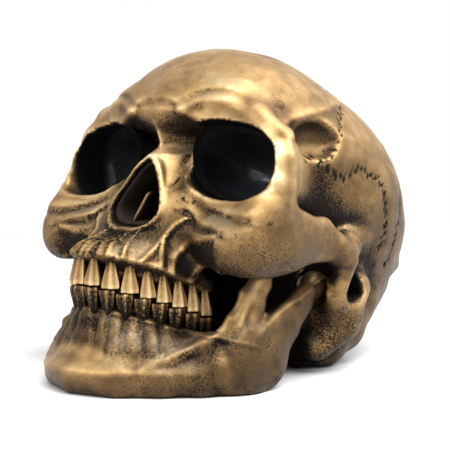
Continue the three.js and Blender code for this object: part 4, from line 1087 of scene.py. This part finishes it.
def septum_plate(low, high):
    """Thin plate between two corners: rounded rings from front to back, rising steeply to the full height.
    Gives its points, faces and how far in each point lies."""
    along = np.linspace(0, 1, 25)
    turn = np.linspace(0, 2 * math.pi, SEPTUM_SIDES, endpoint=False)
    y = low[1] + 0.4 + (high[1] - low[1]) * 0.94 * along
    foot = low[2] + 0.4 + 3.0 * along
    top = np.minimum(foot + (high[2] - low[2]) * np.minimum(1, 0.1 + 3.4 * along), high[2] - 0.6)
    wide = 0.95 * np.minimum(1, 6 * along + 0.3) * np.minimum(1, 6 * (1 - along) + 0.1)
    x = wide[:, None] * squared(np.cos(turn), 0.6) + 0.1 * np.sin(5 * along)[:, None]
    z = (foot + top)[:, None] / 2 + (top - foot)[:, None] / 2 * squared(np.sin(turn), 0.6)
    rings = np.stack([x, y[:, None] + np.zeros_like(x), z], -1)
    ends = np.repeat(rings.mean(1, keepdims=True), SEPTUM_SIDES, 1)
    rings = np.concatenate([ends[:1], rings, ends[-1:]])
    back, crest = np.pad(along, 1, "edge")[:, None], np.pad(top, 1, "edge")[:, None]
    inner = np.maximum(ramp(back, 0.25, 0.4), ramp(crest - rings[..., 2], 1.2, 3.6))
    return rings.reshape(-1, 3), tube_faces(*inner.shape)[:, ::-1], inner.ravel()


class SKULL_OT_septum(bpy.types.Operator):
    """Sets the thin septum in the nose opening"""

    bl_idname = "skull.septum"
    bl_label = "Nasal septum"

    def execute(self, context):
        low, high = (np.array(corner) * 1000 + (0, CHIN_Y, 0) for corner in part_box("nasal_septum"))
        points, faces, inner = septum_plate(low, high)
        # Painted shade on the septum further back and lower in the nose
        piece = place("nose_septum", points, faces, {"hollow": inner, "deep": inner})
        paint = bronze("antique_bronze_septum", (0.2, 0.1, 0.3), sizes().lift)
        finish(piece, "cranium", "bronze_skull", paint, "nasal_septum")
        return {"FINISHED"}


class SKULL_OT_hinge(bpy.types.Operator):
    """Finishes the hinge pins and bushes"""

    bl_idname = "skull.hinge"
    bl_label = "Jaw hinge"

    def execute(self, context):
        for kind, paint in (("pin", pin_steel("turned_steel")), ("bush", bush_nylon("natural_nylon"))):
            for side, _ in SIDES:
                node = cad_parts[f"{side}_jaw_hinge_{kind}"]
                node.data.materials.clear()
                node.data.materials.append(paint)
        return {"FINISHED"}


# Stage: the photograph's camera in the sculptor's frame and degrees, lamps and floor in metres
CAMERA_AT, CAMERA_ROUND, CAMERA_DOWN = (379.3, -294.0, 104.0), 44.0, 3.641
CAMERA_LENS, CAMERA_SENSOR = 88.0, 36.0
LAMP_TARGET = (0, 0, 0.08)
LAMPS = (
    ("key", (0.5, -0.3, 1.45), 1.0, 1.0),
    ("rear", (0.7, 0.5, 1.2), 1.2, 1.0),
    ("fill", (-0.25, -1.3, 0.9), 1.0, 0.4),
)
FLOOR_HALF = 0.8


def stage_floor():
    """Plain square floor under the skull."""
    corners = np.array([(-1, -1, 0), (1, -1, 0), (1, 1, 0), (-1, 1, 0)]) * FLOOR_HALF * 1000
    floor = place("stage_floor", corners + (0, CHIN_Y, 0), np.array([(0, 1, 2, 3)]))
    f = Finish("pale_floor")
    f.set(Base_Color=(*sizes().floor, 1.0), Roughness=0.9)
    floor.data.materials.append(f.material)


def white_world():
    """World that is white to the camera and in reflections, and a dim even light to all else."""
    world = bpy.data.worlds.new("studio")
    world.use_nodes = True
    tree = world.node_tree
    soft = next(n for n in tree.nodes if n.type == "BACKGROUND")
    shown = next(n for n in tree.nodes if n.type == "OUTPUT_WORLD")
    seen = tree.nodes.new("ShaderNodeBackground")
    for light in (soft, seen):
        light.inputs["Color"].default_value = (1.0, 1.0, 1.0, 1.0)
    soft.inputs["Strength"].default_value = sizes().room
    path = tree.nodes.new("ShaderNodeLightPath")
    white = path.outputs["Is Camera Ray"]
    for ray in ("Is Glossy Ray", "Is Transmission Ray"):
        either = tree.nodes.new("ShaderNodeMath")
        either.operation = "MAXIMUM"
        tree.links.new(white, either.inputs[0])
        tree.links.new(path.outputs[ray], either.inputs[1])
        white = either.outputs[0]
    mix = tree.nodes.new("ShaderNodeMixShader")
    for i, output in enumerate((white, soft.outputs[0], seen.outputs[0])):
        tree.links.new(output, mix.inputs[i])
    tree.links.new(mix.outputs[0], shown.inputs["Surface"])
    return world


def stage_lamp(scene, name, at, size, share):
    """Area lamp that looks at the skull, with its share of the key light's power."""
    lamp = bpy.data.lights.new(name, "AREA")
    lamp.size, lamp.energy = size, share * sizes().light
    holder = bpy.data.objects.new(name, lamp)
    scene.collection.objects.link(holder)
    x, y, z = np.subtract(at, LAMP_TARGET)
    holder.location = at
    holder.rotation_euler = (math.atan2(math.hypot(x, y), z), 0, math.atan2(y, x) + math.pi / 2)


def photo_camera(scene):
    """The camera that took the photograph."""
    lens = bpy.data.cameras.new("photo")
    lens.sensor_width, lens.lens = CAMERA_SENSOR, CAMERA_LENS
    camera = bpy.data.objects.new("photo", lens)
    scene.collection.objects.link(camera)
    camera.location = to_row(CAMERA_AT)
    camera.rotation_euler = (math.radians(90 - CAMERA_DOWN), 0, math.radians(CAMERA_ROUND))
    scene.camera = camera


class SKULL_OT_stage(bpy.types.Operator):
    """Lays the floor, the lights and the camera"""

    bl_idname = "skull.stage"
    bl_label = "Stage"

    def execute(self, context):
        scene = context.scene
        scene.view_settings.view_transform = "Standard"
        stage_floor()
        scene.world = white_world()
        for lamp in LAMPS:
            stage_lamp(scene, *lamp)
        photo_camera(scene)
        return {"FINISHED"}


PIECES = (SKULL_OT_cranium, SKULL_OT_jaw, SKULL_OT_teeth, SKULL_OT_liners, SKULL_OT_septum, SKULL_OT_hinge,
          SKULL_OT_stage)


class SKULL_PT_panel(bpy.types.Panel):
    """Lists the pieces of the skull"""

    bl_idname = "SKULL_PT_panel"
    bl_label = "Bronze skull"
    bl_space_type = "VIEW_3D"
    bl_region_type = "UI"
    bl_category = "Skull"

    def draw(self, context):
        for key in ("skull_step", "jaw_step", "lift", "floor", "light", "room"):
            self.layout.prop(context.scene.skull_sizes, key)
        for piece in PIECES:
            self.layout.operator(piece.bl_idname)


CLASSES = (SkullSizes, *PIECES, SKULL_PT_panel)


def register():
    for cls in CLASSES:
        bpy.utils.register_class(cls)
    bpy.types.Scene.skull_sizes = PointerProperty(type=SkullSizes)


def unregister():
    del bpy.types.Scene.skull_sizes
    for cls in reversed(CLASSES):
        bpy.utils.unregister_class(cls)


def main():
    register()
    for piece in PIECES:
        group, name = piece.bl_idname.split(".")
        getattr(getattr(bpy.ops, group), name)()


if __name__ == "__main__":
    main()
